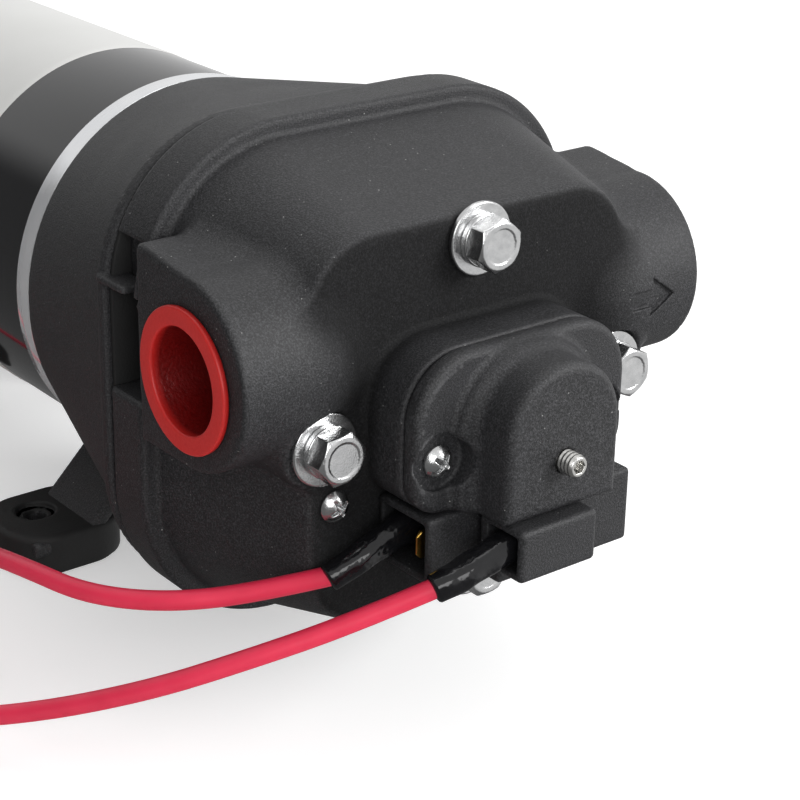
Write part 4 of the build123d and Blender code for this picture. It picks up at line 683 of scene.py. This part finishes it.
def terminal_field(x, y, h):
    """The terminal housing: a box with a hood for the rear and for the front blades, open to -X."""
    depth = PLATEAU - y
    body = block(x, depth, h, (-8, 20), (0.4, 17.1), (-23.5, -10.5), 0.7)
    body = join(body, block(x, depth, h, (-19.5, -6), (0.4, 13.5), (-22, -10.5), 0.7), 0.2)
    body = join(body, block(x, depth, h, (-10.7, 5.1), (15, 25.4), (-19.4, -10.5), 0.9), 0.3)
    body = cut(body, block(x, depth, h, (-21, -8), (1.7, 12.2), (-20.7, -11.8), 0.4), 0.3)
    body = cut(body, block(x, depth, h, (-12, 3.8), (17.1, 24.1), (-18.1, -11.8), 0.4), 0.3)
    washer = np.maximum(np.hypot(x, h + 28.5) - 6.5, between(depth, -1, 1.2))
    return cut(body, washer, 0.1)


def hexagon(a, b, flats):
    """Distance to a hexagon across its flats, with two flats facing up and down."""
    rising, falling = np.abs(0.5 * b + 0.8660254 * a), np.abs(0.5 * b - 0.8660254 * a)
    return np.maximum(np.abs(b), np.maximum(rising, falling)) - flats / 2


def bolt_field(x, y, h):
    """A hexagon bolt's head with its edges turned off to a cone, on a stub of shank."""
    radius = np.hypot(x, h)
    head = meet(hexagon(x, h, 8.0), between(y, -130.8, -127.2), 0.12)
    head = meet(head, (radius - 3.75 - (y + 130.8) * 1.7) * 0.5, 0.06)
    head = np.maximum(head, -np.maximum(radius - 2.9, y + 130.65))
    return np.minimum(head, np.maximum(radius - 2.45, between(y, -128.0, -119.0)))


def washer_field(x, y, h):
    """A flat washer, slightly round at its edges."""
    radius = np.hypot(x, h)
    return meet(np.maximum(radius - 6.1, 2.65 - radius), between(y, -126.0, -125.0), 0.22)


def spring_washer_field(x, y, h):
    """A split spring washer: a square section ring with a slanted gap."""
    radius = np.hypot(x, h)
    ring = meet(np.maximum(radius - 4.4, 2.65 - radius), between(y, -127.2, -126.0), 0.15)
    gap = np.maximum(np.abs(h + 0.8 * (y + 126.6)) - 0.35, -x)
    return np.maximum(ring, -gap)


def screw_head_field(x, y, h):
    """A pan head with a cross recess; its seat is at y 0 and its top at y -2."""
    radius = np.hypot(x, h)
    ball = np.sqrt(x ** 2 + (y - 1.35) ** 2 + h ** 2) - 3.35
    head = meet(np.maximum(ball, radius - 2.8), y, 0.12)
    arm = np.minimum(np.maximum(np.abs(x) - 0.36 + 0.12 * (y + 2), np.abs(h) - 1.55 - 0.5 * (-y - 1.2)),
                     np.maximum(np.abs(h) - 0.36 + 0.12 * (y + 2), np.abs(x) - 1.55 - 0.5 * (-y - 1.2)))
    cross = np.maximum(np.minimum(arm, radius - 0.75), y + 0.9)
    return np.minimum(cut(head, cross, 0.08), np.maximum(radius - 1.45, between(y, -0.5, 4.0)))


def set_screw_field(x, y, h):
    """The adjusting screw: a rolled thread with a hexagon socket in its end."""
    up = h - SWITCH_RISE
    turn = np.arctan2(up, x) / (2 * np.pi) + y / 0.8
    thread = 0.26 * np.abs(2 * (turn - np.floor(turn)) - 1)
    body = np.maximum(np.hypot(x, up) - 2.0 + thread, between(y, -150.9, -144.73))
    body = meet(body, np.hypot(x, up) - 1.55 - (y + 150.9) * 0.9, 0.1)
    return np.maximum(body, -np.maximum(hexagon(x, up, 2.0), y + 148.9))


# ---------------------------------------------------------------- operators

# The camera, fitted to the photograph: focal length in its pixels, place in metres and turns in degrees
PICTURE_PIXELS, FOCAL_PIXELS, SENSOR_MM = 800, 2123.3, 36
CAMERA_PLACE = (-0.20727, -0.36692, 0.19108)
CAMERA_TURN, CAMERA_DIP, CAMERA_ROLL = 38.461, 23.089, 1.061
# Each lamp's name, place and width in metres, and power in watts
LAMPS = (("key_lamp", (0.6, -0.85, 0.5), 0.4, 9.0),
         ("top_lamp", (0.3, 0.15, 1.0), 0.8, 2.6),
         ("front_lamp", (-0.5, -1.0, 0.4), 0.6, 4.2))
LAMP_AIM = (0, -0.08, 0.05)


def stage_camera(scene):
    """The camera that sees the pump as the photograph does."""
    data = bpy.data.cameras.new("camera")
    data.lens, data.sensor_width = FOCAL_PIXELS / PICTURE_PIXELS * SENSOR_MM, SENSOR_MM
    data.clip_start, data.clip_end = 0.01, 20
    camera = bpy.data.objects.new("camera", data)
    turn, dip, roll = (math.radians(v) for v in (CAMERA_TURN, CAMERA_DIP, CAMERA_ROLL))
    ahead = Vector((math.sin(turn) * math.cos(dip), math.cos(turn) * math.cos(dip), -math.sin(dip)))
    right = Vector((math.cos(turn), -math.sin(turn), 0))
    right = right * math.cos(roll) + right.cross(ahead) * math.sin(roll)
    up = right.cross(ahead)
    turned = Matrix((right, up, -ahead)).transposed().to_4x4()
    camera.matrix_world = Matrix.Translation(CAMERA_PLACE) @ turned
    scene.collection.objects.link(camera)
    scene.camera = camera


def stage_world(scene):
    """A studio whose bright side is above and to the right; the camera itself sees plain white."""
    world = bpy.data.worlds.new("studio")
    scene.world = world
    world.use_nodes = True
    tree = world.node_tree
    tree.nodes.clear()
    way = add(tree, "TexCoord").outputs["Generated"]
    toward = add(tree, "VectorMath", {0: way, 1: (0.66, -0.1, 0.74)}, operation="DOT_PRODUCT")
    soft = add(tree, "MapRange", {"Value": toward, "From Min": -0.2, "From Max": 0.1, "To Min": 0.16,
                                  "To Max": 0.8}, interpolation_type="SMOOTHSTEP")
    path = add(tree, "LightPath").outputs
    seen = add(tree, "Math", {0: path["Is Camera Ray"], 1: path["Is Transmission Ray"]},
               operation="MAXIMUM")
    dim = add(tree, "MapRange", {"Value": path["Is Diffuse Ray"], "To Min": 1.0, "To Max": 0.62})
    room = add(tree, "Math", {0: soft, 1: dim}, operation="MULTIPLY")
    strength = add(tree, "Mix", {0: seen, 2: room, 3: 1.0}, data_type="FLOAT")
    glow = add(tree, "Background", {"Color": (1, 1, 1, 1), "Strength": strength})
    add(tree, "OutputWorld", {"Surface": glow})


def stage_floor(scene):
    """A pale floor that the camera sees near white, and that keeps the pump's shadow."""
    material = bpy.data.materials.new("pale_floor")
    material.use_nodes = True
    tree = material.node_tree
    tree.nodes.clear()
    matt = add(tree, "BsdfDiffuse", {"Color": (0.82, 0.82, 0.82, 1)})
    lit = add(tree, "Emission", {"Color": (1, 1, 1, 1), "Strength": 0.42})
    both = add(tree, "AddShader", {0: matt, 1: lit})
    seen = add(tree, "LightPath").outputs["Is Camera Ray"]
    add(tree, "OutputMaterial", {"Surface": add(tree, "MixShader", {0: seen, 1: matt, 2: both})})
    mesh = bpy.data.meshes.new("floor")
    mesh.from_pydata([(-4, -4, 0), (4, -4, 0), (4, 4, 0), (-4, 4, 0)], [], [(0, 1, 2, 3)])
    mesh.materials.append(material)
    floor = bpy.data.objects.new("floor", mesh)
    scene.collection.objects.link(floor)
    # Black pieces reflect the dark side of the studio there, as in the photo, and not the floor
    floor.visible_glossy = False


def stage_lamps(scene):
    """Three soft square lamps turned to the pump."""
    for name, place, size, power in LAMPS:
        lamp = bpy.data.lights.new(name, "AREA")
        lamp.size, lamp.energy = size, power
        made = bpy.data.objects.new(name, lamp)
        made.location = place
        made.rotation_euler = (Vector(LAMP_AIM) - Vector(place)).to_track_quat("-Z", "Y").to_euler()
        scene.collection.objects.link(made)


class PUMP_OT_stage(bpy.types.Operator):
    """Add the floor, the soft lamps and the camera at the photograph's angle."""
    bl_idname = "pump.stage"
    bl_label = "Stage"

    def execute(self, context):
        context.scene.view_settings.view_transform = "Standard"
        for step in (stage_camera, stage_world, stage_floor, stage_lamps):
            step(context.scene)
        return {"FINISHED"}


def lead(name, route, diameter, stands_for):
    """A lead: one smooth spline whose control points are the route, with a round section."""
    data = bpy.data.curves.new(name, "CURVE")
    data.dimensions = "3D"
    data.bevel_depth, data.bevel_resolution, data.use_fill_caps = diameter / 2, 7, True
    data.resolution_u = 14
    spline = data.splines.new("NURBS")
    spline.points.add(len(route) - 1)
    spline.points.foreach_set("co", [v for point in route for v in (*point, 1.0)])
    spline.order_u = 3
    spline.use_endpoint_u = True
    data.materials.append(finish("lead"))
    made = bpy.data.objects.new(name, data)
    bpy.context.scene.collection.objects.link(made)
    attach(made, "pump")
    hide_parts(*stands_for)
    return made


def strands(length, radius, offset, rows=22, sides=10):
    """Seven bare strands along X: one in the middle and six round it, each a helix at the offset."""
    along = np.linspace(0, length, rows)
    around = np.linspace(0, 2 * np.pi, sides, endpoint=False)
    section = radius * np.stack([np.zeros(sides), np.cos(around), np.sin(around)], 1)
    points, faces = [], []
    for strand in range(7):
        out = 0.0 if strand == 6 else offset
        twist = strand * np.pi / 3 + along * 0.55
        centre = np.stack([along, out * np.cos(twist), out * np.sin(twist)], 1)
        points.append((centre[:, None] + section[None]).reshape(-1, 3))
        base = strand * rows * sides
        last = base + (rows - 1) * sides
        faces.extend((tube_faces(rows, sides) + base).tolist())
        faces.append(list(range(base, base + sides))[::-1])
        faces.append(list(range(last, last + sides)))
    return np.concatenate(points), faces


class PUMP_OT_leads(bpy.types.Operator):
    """Add the motor lead and the supply lead with its coil and bare end."""
    bl_idname = "pump.leads"
    bl_label = "Leads"

    def execute(self, context):
        sizes = context.scene.pump_wiring
        motor_route = [
            (-0.0300, -0.1283, 0.0343), (-0.0405, -0.1190, 0.0300), (-0.0510, -0.1102, 0.0281),
            (-0.0585, -0.0990, 0.0272), (-0.0610, -0.0845, 0.0264), (-0.0605, -0.0690, 0.0228),
            (-0.0590, -0.0545, 0.0162), (-0.0585, -0.0390, 0.0095), (-0.0575, -0.0220, 0.0036),
            (-0.0560, -0.0030, 0.0019), (-0.0540, 0.0160, 0.0024), (-0.0530, 0.0340, 0.0060),
            (-0.0505, 0.0500, 0.0130), (-0.04128, 0.0664, 0.02404), (-0.03008, 0.0664, 0.03244)]
        motor = lead("motor_lead_wire", motor_route, sizes.lead_diameter, ["motor_lead"])

        supply_route = [
            (-0.0220, -0.1435, 0.0360), (-0.0330, -0.1360, 0.0298), (-0.0460, -0.1270, 0.0238),
            (-0.0585, -0.1165, 0.0174), (-0.0710, -0.0995, 0.0094), (-0.0835, -0.0805, 0.0034),
            (-0.0955, -0.0620, 0.0018), (-0.104725, -0.0410, 0.0017), (-0.1047, -0.0240, 0.0017),
            (-0.1052, -0.0165, 0.0017)]
        # The coil: a control point each eighth of a turn, its radius falling by 2.15 mm each half turn
        step = np.arange(1, 17)
        turned = np.pi - step * np.pi / 4
        radius = (0.0218 - 0.0005375 * step) / 0.925
        turns = np.stack([-0.082925 + radius * np.cos(turned), -0.016 + radius * np.sin(turned),
                          np.full(16, 0.0017)], 1)
        tail = [(-0.0960, -0.0098, 0.0017), (-0.0905, -0.0061, 0.0017), (-0.082925, -0.0061, 0.0017)]
        supply_route = supply_route + turns.tolist() + tail
        supply = lead("supply_lead_wire", supply_route, sizes.lead_diameter, ["supply_lead", "supply_coil"])

        points, faces = strands(5.0, 0.31, 0.62)
        end = piece("bare_strands", points + np.array([-82.925, -6.1, 1.7]), faces, "copper",
                    stands_for=["lead_end"])
        return {"FINISHED"}


class PUMP_OT_head_cover(bpy.types.Operator):
    """Add the moulded head cover with its ports and the flow arrow."""
    bl_idname = "pump.head_cover"
    bl_label = "Head cover"

    def execute(self, context):
        pitch = context.scene.pump_moulding.head_pitch
        # The grid is finer where the flow arrow is
        formed("pump_head", head_field, (-47.2, -134.1, -44.1), (47.2, -86.4, 44.1), pitch, "nylon",
               "head_cover", fine=((30.4, 42.2), (-129.2, -127.4), (5.9, 17.1)))
        formed("drive_shell", housing_field, (-45.8, -94.1, -44.1), (45.8, -43.3, 44.1), pitch, "nylon",
               "drive_housing")
        band = [(0.25, -86.42), (0, -86.2), (0, -85.8), (0.25, -85.58), (17.7, -85.58), (17.7, -86.42)]
        points, faces = banded(*DIAPHRAGM_EDGE, band)
        piece("clamped_diaphragm", raised(points), faces, "rubber", stands_for=["diaphragm"])
        return {"FINISHED"}


class PUMP_OT_switch_cover(bpy.types.Operator):
    """Add the pressure switch's cover and the terminal housing below it."""
    bl_idname = "pump.switch_cover"
    bl_label = "Pressure switch"

    def execute(self, context):
        pitch = context.scene.pump_moulding.part_pitch
        formed("pressure_switch_cover", cover_field, (-22, -147.8, -10.6), (22, -134, 15.7), pitch, "nylon",
               "switch_cover")
        formed("terminal_shroud", terminal_field, (-19.6, -150.5, -23.6), (20.1, -125.3, -10.4), pitch,
               "nylon", "terminal_housing")
        formed("pressure_adjuster", set_screw_field, (-2, -151, -3.9), (2, -144.6, 0.3), 0.11, "stainless",
               "adjusting_screw", body="set_screw")
        return {"FINISHED"}


def repeated(points, faces, places):
    """One mesh of copies of a small shape: each place is x, height, turn about Y and move along Y."""
    all_points, all_faces = [], []
    for number, (x, h, turn, shift) in enumerate(places):
        c, s = math.cos(turn), math.sin(turn)
        spun = np.stack([points[:, 0] * c - points[:, 2] * s, points[:, 1] + shift,
                         points[:, 0] * s + points[:, 2] * c], 1)
        all_points.append(spun + np.array([x, 0, h + AXIS_HEIGHT]))
        all_faces.append(np.asarray(faces) + number * len(points))
    return np.concatenate(all_points), np.concatenate(all_faces)


class PUMP_OT_fasteners(bpy.types.Operator):
    """Add the head bolts with their washers and the cross-head screws."""
    bl_idname = "pump.fasteners"
    bl_label = "Fasteners"

    def execute(self, context):
        pitch = context.scene.pump_moulding.metal_pitch
        turns = (0.35, 1.1, 0.6, 0.15)
        at = [(x, h, turn, 0) for (x, h), turn in zip(BOLT_PLACES, turns)]
        for name, field, reach, front, back, node in (
                ("hexagon_bolts", bolt_field, 4.7, -130.9, -119, "head_bolts"),
                ("flat_washers", washer_field, 6.2, -126.1, -125, "bolt_washers"),
                ("split_washers", spring_washer_field, 4.5, -127.3, -126, "spring_washers")):
            points, quads = skin(field, (-reach, front, -reach), (reach, back, reach), pitch)
            piece(name, *repeated(points, quads, at), "zinc", stands_for=[node])
        points, quads = skin(screw_head_field, (-2.9, -2.1, -2.9), (2.9, 4, 2.9), 0.11)
        for name, places, turn, step, seat, node in (
                ("head_cross_screws", HEAD_SCREW_PLACES, 0.5, 0.9, PLATEAU, "head_screws"),
                ("cover_cross_screws", COVER_SCREW_PLACES, 0.9, 0.7, COVER_SCREW_SEAT, "switch_screws")):
            heads = [(x, h, turn + step * i, seat) for i, (x, h) in enumerate(places)]
            piece(name, *repeated(points, quads, heads), "zinc", stands_for=[node])
        return {"FINISHED"}


class PUMP_OT_plugs(bpy.types.Operator):
    """Add the red transit plug in each port."""
    bl_idname = "pump.plugs"
    bl_label = "Transit plugs"

    def execute(self, context):
        profile = [(35.2, 0.0), (37.3, 0.0), (37.3, 8.5), (48.3, 8.65), (48.3, 11.85), (47.15, 11.85),
                   (47.15, 10.45), (35.2, 10.2)]
        outline = softened(profile, 0.45)
        outline[:5, 1] = 0.0
        outline[5:10, 1] = np.linspace(0, 0.4, 5)
        points, faces = lathe(outline[::-1], 128)
        for name, hand, body, node in (("inlet_transit_plug", -1, "inlet_plug_body", "inlet_plug"),
                                       ("outlet_transit_plug", 1, "outlet_plug_body", "outlet_plug")):
            placed = carried(points, (0, PORT_Y, AXIS_HEIGHT + PORT_RISE), (hand, 0, 0))
            piece(name, placed, faces, "plug", body=body, stands_for=[node])
        return {"FINISHED"}


def sleeve(stations, around=40, per_run=14):
    """A soft tube through stations of (x, y, z, width, height), with rounded ends and shallow wrinkles.

    Between stations every value follows a Catmull-Rom curve. A section is a rounded rectangle's
    superellipse, and the wrinkles are slow waves along it that fade round the section.
    """
    s = np.asarray(stations, float)
    padded = np.vstack([2 * s[0] - s[1], s, 2 * s[-1] - s[-2]])
    t = np.linspace(0, 1, per_run, endpoint=False)[:, None]
    runs = [0.5 * (2 * b + (c - a) * t + (2 * a - 5 * b + 4 * c - d) * t ** 2
                   + (3 * b - a - 3 * c + d) * t ** 3)
            for a, b, c, d in zip(padded, padded[1:], padded[2:], padded[3:])]
    line = np.vstack([*runs, s[-1:]])
    centre, width, height = line[:, :3], line[:, 3], line[:, 4]
    way = np.gradient(centre, axis=0)
    way /= np.linalg.norm(way, axis=1)[:, None]
    level = np.cross(way, [0, 0, 1.0])
    level /= np.linalg.norm(level, axis=1)[:, None]
    up = np.cross(level, way)
    angle = np.linspace(0, 2 * np.pi, around, endpoint=False)
    c, h = np.cos(angle), np.sin(angle)
    shape = 1 / (np.abs(c) ** 2.6 + np.abs(h) ** 2.6) ** (1 / 2.6)
    run = np.linspace(0, 1, len(line))
    wave = np.sin(run[:, None] * 21 + 2.2 * np.sin(angle)[None])
    crease = 1 + 0.035 * wave * np.sin(np.pi * run)[:, None]
    wide = (width[:, None] / 2 * c * shape) * crease
    tall = (height[:, None] / 2 * h * shape) * crease
    rings = centre[:, None] + wide[..., None] * level[:, None] + tall[..., None] * up[:, None]
    first, last = ([centre[i] + (rings[i] - centre[i]) * share + way[i] * side * out
                    for share, out in ((0.9, 0.3), (0.7, 0.45))] for i, side in ((0, -1), (-1, 1)))
    grid = np.concatenate([np.array(first[::-1]), rings, np.array(last)])
    faces = tube_faces(len(grid), around).tolist()
    count = len(grid) * around
    faces.append(list(range(around))[::-1])
    faces.append(list(range(count - around, count)))
    return grid.reshape(-1, 3), faces


class PUMP_OT_boots(bpy.types.Operator):
    """Add the insulating boot on each of the two used terminals."""
    bl_idname = "pump.boots"
    bl_label = "Terminal boots"

    def execute(self, context):
        rear = [(-10.5, -129.5, 39.3, 4.2, 6.4), (-15.5, -129.5, 39.3, 4.1, 6.2),
                (-20.0, -129.5, 38.8, 4.3, 5.2), (-24.5, -129.2, 37.0, 4.9, 4.4),
                (-28.0, -128.7, 35.4, 4.7, 4.2), (-31.0, -128.0, 33.9, 4.4, 4.2)]
        front = [(-4.6, -145.6, 40.2, 5.0, 5.4), (-9.0, -145.6, 40.3, 4.9, 5.2),
                 (-12.5, -145.4, 39.6, 5.3, 4.7), (-16.5, -144.9, 38.1, 5.5, 4.5),
                 (-19.5, -144.3, 36.9, 5.1, 4.6), (-22.2, -143.5, 35.9, 4.6, 4.4)]
        for name, stations, node in (("rear_terminal_boot", rear, "rear_lead_boot"),
                                     ("front_terminal_boot", front, "front_lead_boot")):
            points, faces = sleeve(stations)
            piece(name, points, faces, "boot", stands_for=[node])
        return {"FINISHED"}


def wrapped_label(reach_y=30.0, corner=4.0, middle_y=16.5, columns=181, rows=61):
    """A thin sheet wrapped 150 degrees each way round the can, from the top.

    Each row is an arc, shorter where a corner is round, and its height over the paint rises from the
    edge inwards.
    """
    half_arc = math.radians(150) * CAN_RADIUS
    across, along = np.meshgrid(np.linspace(-1, 1, columns), np.linspace(-1, 1, rows))
    arc, run = across * half_arc, along * reach_y
    gone = np.maximum(np.abs(run) - reach_y + corner, 0)
    trim = corner - np.sqrt(np.maximum(corner ** 2 - gone ** 2, 0))
    arc = arc * (half_arc - trim) / half_arc
    height = CAN_RADIUS + 0.02 + 0.16 * np.clip(-plate(arc, run, half_arc, reach_y, corner) / 0.3, 0, 1)
    turn = arc / CAN_RADIUS
    points = np.stack([height * np.sin(turn), middle_y + run, AXIS_HEIGHT + height * np.cos(turn)], -1)
    row, column = np.meshgrid(np.arange(rows - 1), np.arange(columns - 1), indexing="ij")
    start = (row * columns + column).ravel()
    return points.reshape(-1, 3), np.stack([start, start + 1, start + columns + 1, start + columns], 1)


class PUMP_OT_motor(bpy.types.Operator):
    """Add the motor can's paint, the bright ring round its front and the label."""
    bl_idname = "pump.motor"
    bl_label = "Motor"

    def execute(self, context):
        ring = softened([(-43.3, 36.02), (-38.7, 36.02), (-38.7, 36.35), (-41.0, 36.6), (-43.3, 36.4)], 0.3)
        points, faces = lathe(ring[::-1], 220)
        piece("bright_trim_ring", points, faces, "chrome", stands_for=["trim_ring"])
        can = softened([(-38.55, 34.1), (-38.55, CAN_RADIUS), (58.2, CAN_RADIUS), (58.9, 35.6),
                        (59.8, 35.6), (60.5, CAN_RADIUS), (61.35, CAN_RADIUS), (61.35, 34.1)], 0.5)
        points, faces = lathe(can[::-1], 220)
        piece("painted_can", points, faces, "paint", stands_for=["motor_can"])
        formed("moulded_end_cap", end_cap_field, (-36.1, 61.3, -36.1), (36.1, 73.5, 36.1),
               context.scene.pump_moulding.head_pitch, "nylon", "rear_end_cap")
        points, quads = skin(dome_screw_field, (-3.7, -6, -3.7), (3.7, 2.3, 3.7), 0.16)
        heads = [(0, MOTOR_BOLT_RISE, 0.4, CAP_BACK), (0, -MOTOR_BOLT_RISE, 1.2, CAP_BACK)]
        piece("through_bolt_heads", *repeated(points, quads, heads), "zinc", stands_for=["motor_bolts"])
        gland = softened([(33.0, 1.75), (38.6, 1.75), (38.6, 2.6), (37.5, 4.2), (36.05, 4.2), (36.05, 3.0),
                          (33.0, 3.0)], 0.35)
        points, faces = lathe(gland[::-1], 64)
        both = [carried(points, (0, GLAND_Y, AXIS_HEIGHT), (-math.sin(a), 0, math.cos(a)))
                for a in (math.radians(127), math.radians(157))]
        piece("gland_rubbers", np.concatenate(both), np.concatenate([faces, faces + len(points)]), "rubber",
              stands_for=["lead_grommets"])

        piece("blank_label", *wrapped_label(), "label", stands_for=["motor_label"])
        return {"FINISHED"}


class PUMP_OT_base(bpy.types.Operator):
    """Add the saddle base and its four rubber feet."""
    bl_idname = "pump.base"
    bl_label = "Base and feet"

    def execute(self, context):
        pitch = context.scene.pump_moulding.head_pitch
        formed("saddle", base_field, (-38.6, -45.1, -50.6), (38.6, 45.1, -31.4), pitch, "nylon",
               "saddle_base")
        # The feet mirror each other, and a mirrored one has its faces turned back
        points, quads = skin(foot_field, (-12.6, -10.7, -0.1), (12.6, 10.7, 8.6), 0.4)
        hands = [(i, j) for i in (1, -1) for j in (1, -1)]
        feet = [points * np.array([i, j, 1]) + np.array([i * FOOT_PLACE[0], j * FOOT_PLACE[1], 0])
                for i, j in hands]
        faces = [quads[:, ::i * j] + k * len(points) for k, (i, j) in enumerate(hands)]
        piece("foot_pads", np.concatenate(feet), np.concatenate(faces), "rubber",
              stands_for=["rubber_feet"])
        return {"FINISHED"}


class PUMP_OT_terminals(bpy.types.Operator):
    """Add the three brass blades of the switch."""
    bl_idname = "pump.terminals"
    bl_label = "Terminals"

    def execute(self, context):
        points, quads = skin(blade_field, (-0.1, -0.5, -2.4), (11.6, 0.5, 2.4), 0.16)
        # The tips' places; the first blade is the spare one, which the photo shows further out
        places = [(-19.0, -134.6, -16.4), (-17.5, -130.0, -16.0), (-8.6, -145.6, -14.8)]
        blades = [raised(points + np.array(place)) for place in places]
        faces = [quads + i * len(points) for i in range(3)]
        piece("brass_blades", np.concatenate(blades), np.concatenate(faces), "brass",
              stands_for=["switch_terminals"])
        return {"FINISHED"}


class PUMP_OT_frame_finishes(bpy.types.Operator):
    """Give every CAD node that stays the finish of the real part."""
    bl_idname = "pump.frame_finishes"
    bl_label = "Finishes of the frame"

    def execute(self, context):
        rows = {
            "nylon": "drive_housing saddle_base rear_end_cap spring_seat switch_plunger microswitch "
                     "microswitch_button head_cover switch_cover terminal_housing",
            "paint": "motor_can motor_end_plate",
            "label": "motor_label",
            "chrome": "trim_ring",
            "zinc": "head_bolts bolt_washers spring_washers head_screws switch_screws base_screws "
                    "motor_bolts housing_screws piston_screws",
            "stainless": "adjusting_screw",
            "brass": "switch_terminals",
            "copper": "lead_end commutator",
            "rubber": "rubber_feet diaphragm diaphragm_cups valve_seal inlet_valves outlet_valve "
                      "switch_membrane lead_grommets",
            "acetal": "valve_plate piston_caps wobble_plate",
            "bearing": "front_bearing rear_bearing wobble_bearing_inner wobble_bearing_outer bearing_balls",
            "steel": "motor_shaft eccentric_hub hub_set_screw",
            "lamination": "armature_core",
            "winding": "armature_winding",
            "ferrite": "magnets",
            "carbon": "carbon_brushes",
            "board": "brush_holder",
            "spring": "brush_springs switch_spring",
            "plug": "inlet_plug outlet_plug",
            "lead": "motor_lead supply_lead supply_coil",
            "boot": "rear_lead_boot front_lead_boot",
        }
        left = set(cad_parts)
        for finish_name, names in rows.items():
            for name in names.split():
                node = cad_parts[name]
                node.data.materials.clear()
                node.data.materials.append(finish(finish_name))
                left.discard(name)
        if left:
            raise RuntimeError(f"no finish for {sorted(left)}")
        return {"FINISHED"}


class PUMP_PT_panel(bpy.types.Panel):
    """The pump's pieces and settings."""
    bl_label = "Water Pump"
    bl_idname = "PUMP_PT_panel"
    bl_space_type = "VIEW_3D"
    bl_region_type = "UI"
    bl_category = "Water Pump"

    def draw(self, context):
        for made in OPERATORS:
            self.layout.operator(made.bl_idname)
        for group in ("pump_moulding", "pump_finish", "pump_wiring"):
            settings = getattr(context.scene, group)
            for key in settings.__annotations__:
                self.layout.prop(settings, key)


OPERATORS = (PUMP_OT_stage, PUMP_OT_leads, PUMP_OT_frame_finishes, PUMP_OT_head_cover,
             PUMP_OT_switch_cover, PUMP_OT_fasteners, PUMP_OT_plugs, PUMP_OT_boots, PUMP_OT_motor,
             PUMP_OT_base, PUMP_OT_terminals)
CLASSES = (MouldingSettings, FinishSettings, WiringSettings, *OPERATORS, PUMP_PT_panel)


def register():
    for made in CLASSES:
        bpy.utils.register_class(made)
    bpy.types.Scene.pump_moulding = PointerProperty(type=MouldingSettings)
    bpy.types.Scene.pump_finish = PointerProperty(type=FinishSettings)
    bpy.types.Scene.pump_wiring = PointerProperty(type=WiringSettings)


def unregister():
    for name in ("pump_wiring", "pump_finish", "pump_moulding"):
        delattr(bpy.types.Scene, name)
    for made in reversed(CLASSES):
        bpy.utils.unregister_class(made)


def main():
    """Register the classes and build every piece."""
    register()
    bpy.ops.pump.stage()
    bpy.ops.pump.leads()
    bpy.ops.pump.frame_finishes()
    bpy.ops.pump.head_cover()
    bpy.ops.pump.switch_cover()
    bpy.ops.pump.fasteners()
    bpy.ops.pump.plugs()
    bpy.ops.pump.boots()
    bpy.ops.pump.motor()
    bpy.ops.pump.base()
    bpy.ops.pump.terminals()


if __name__ == "__main__":
    main()
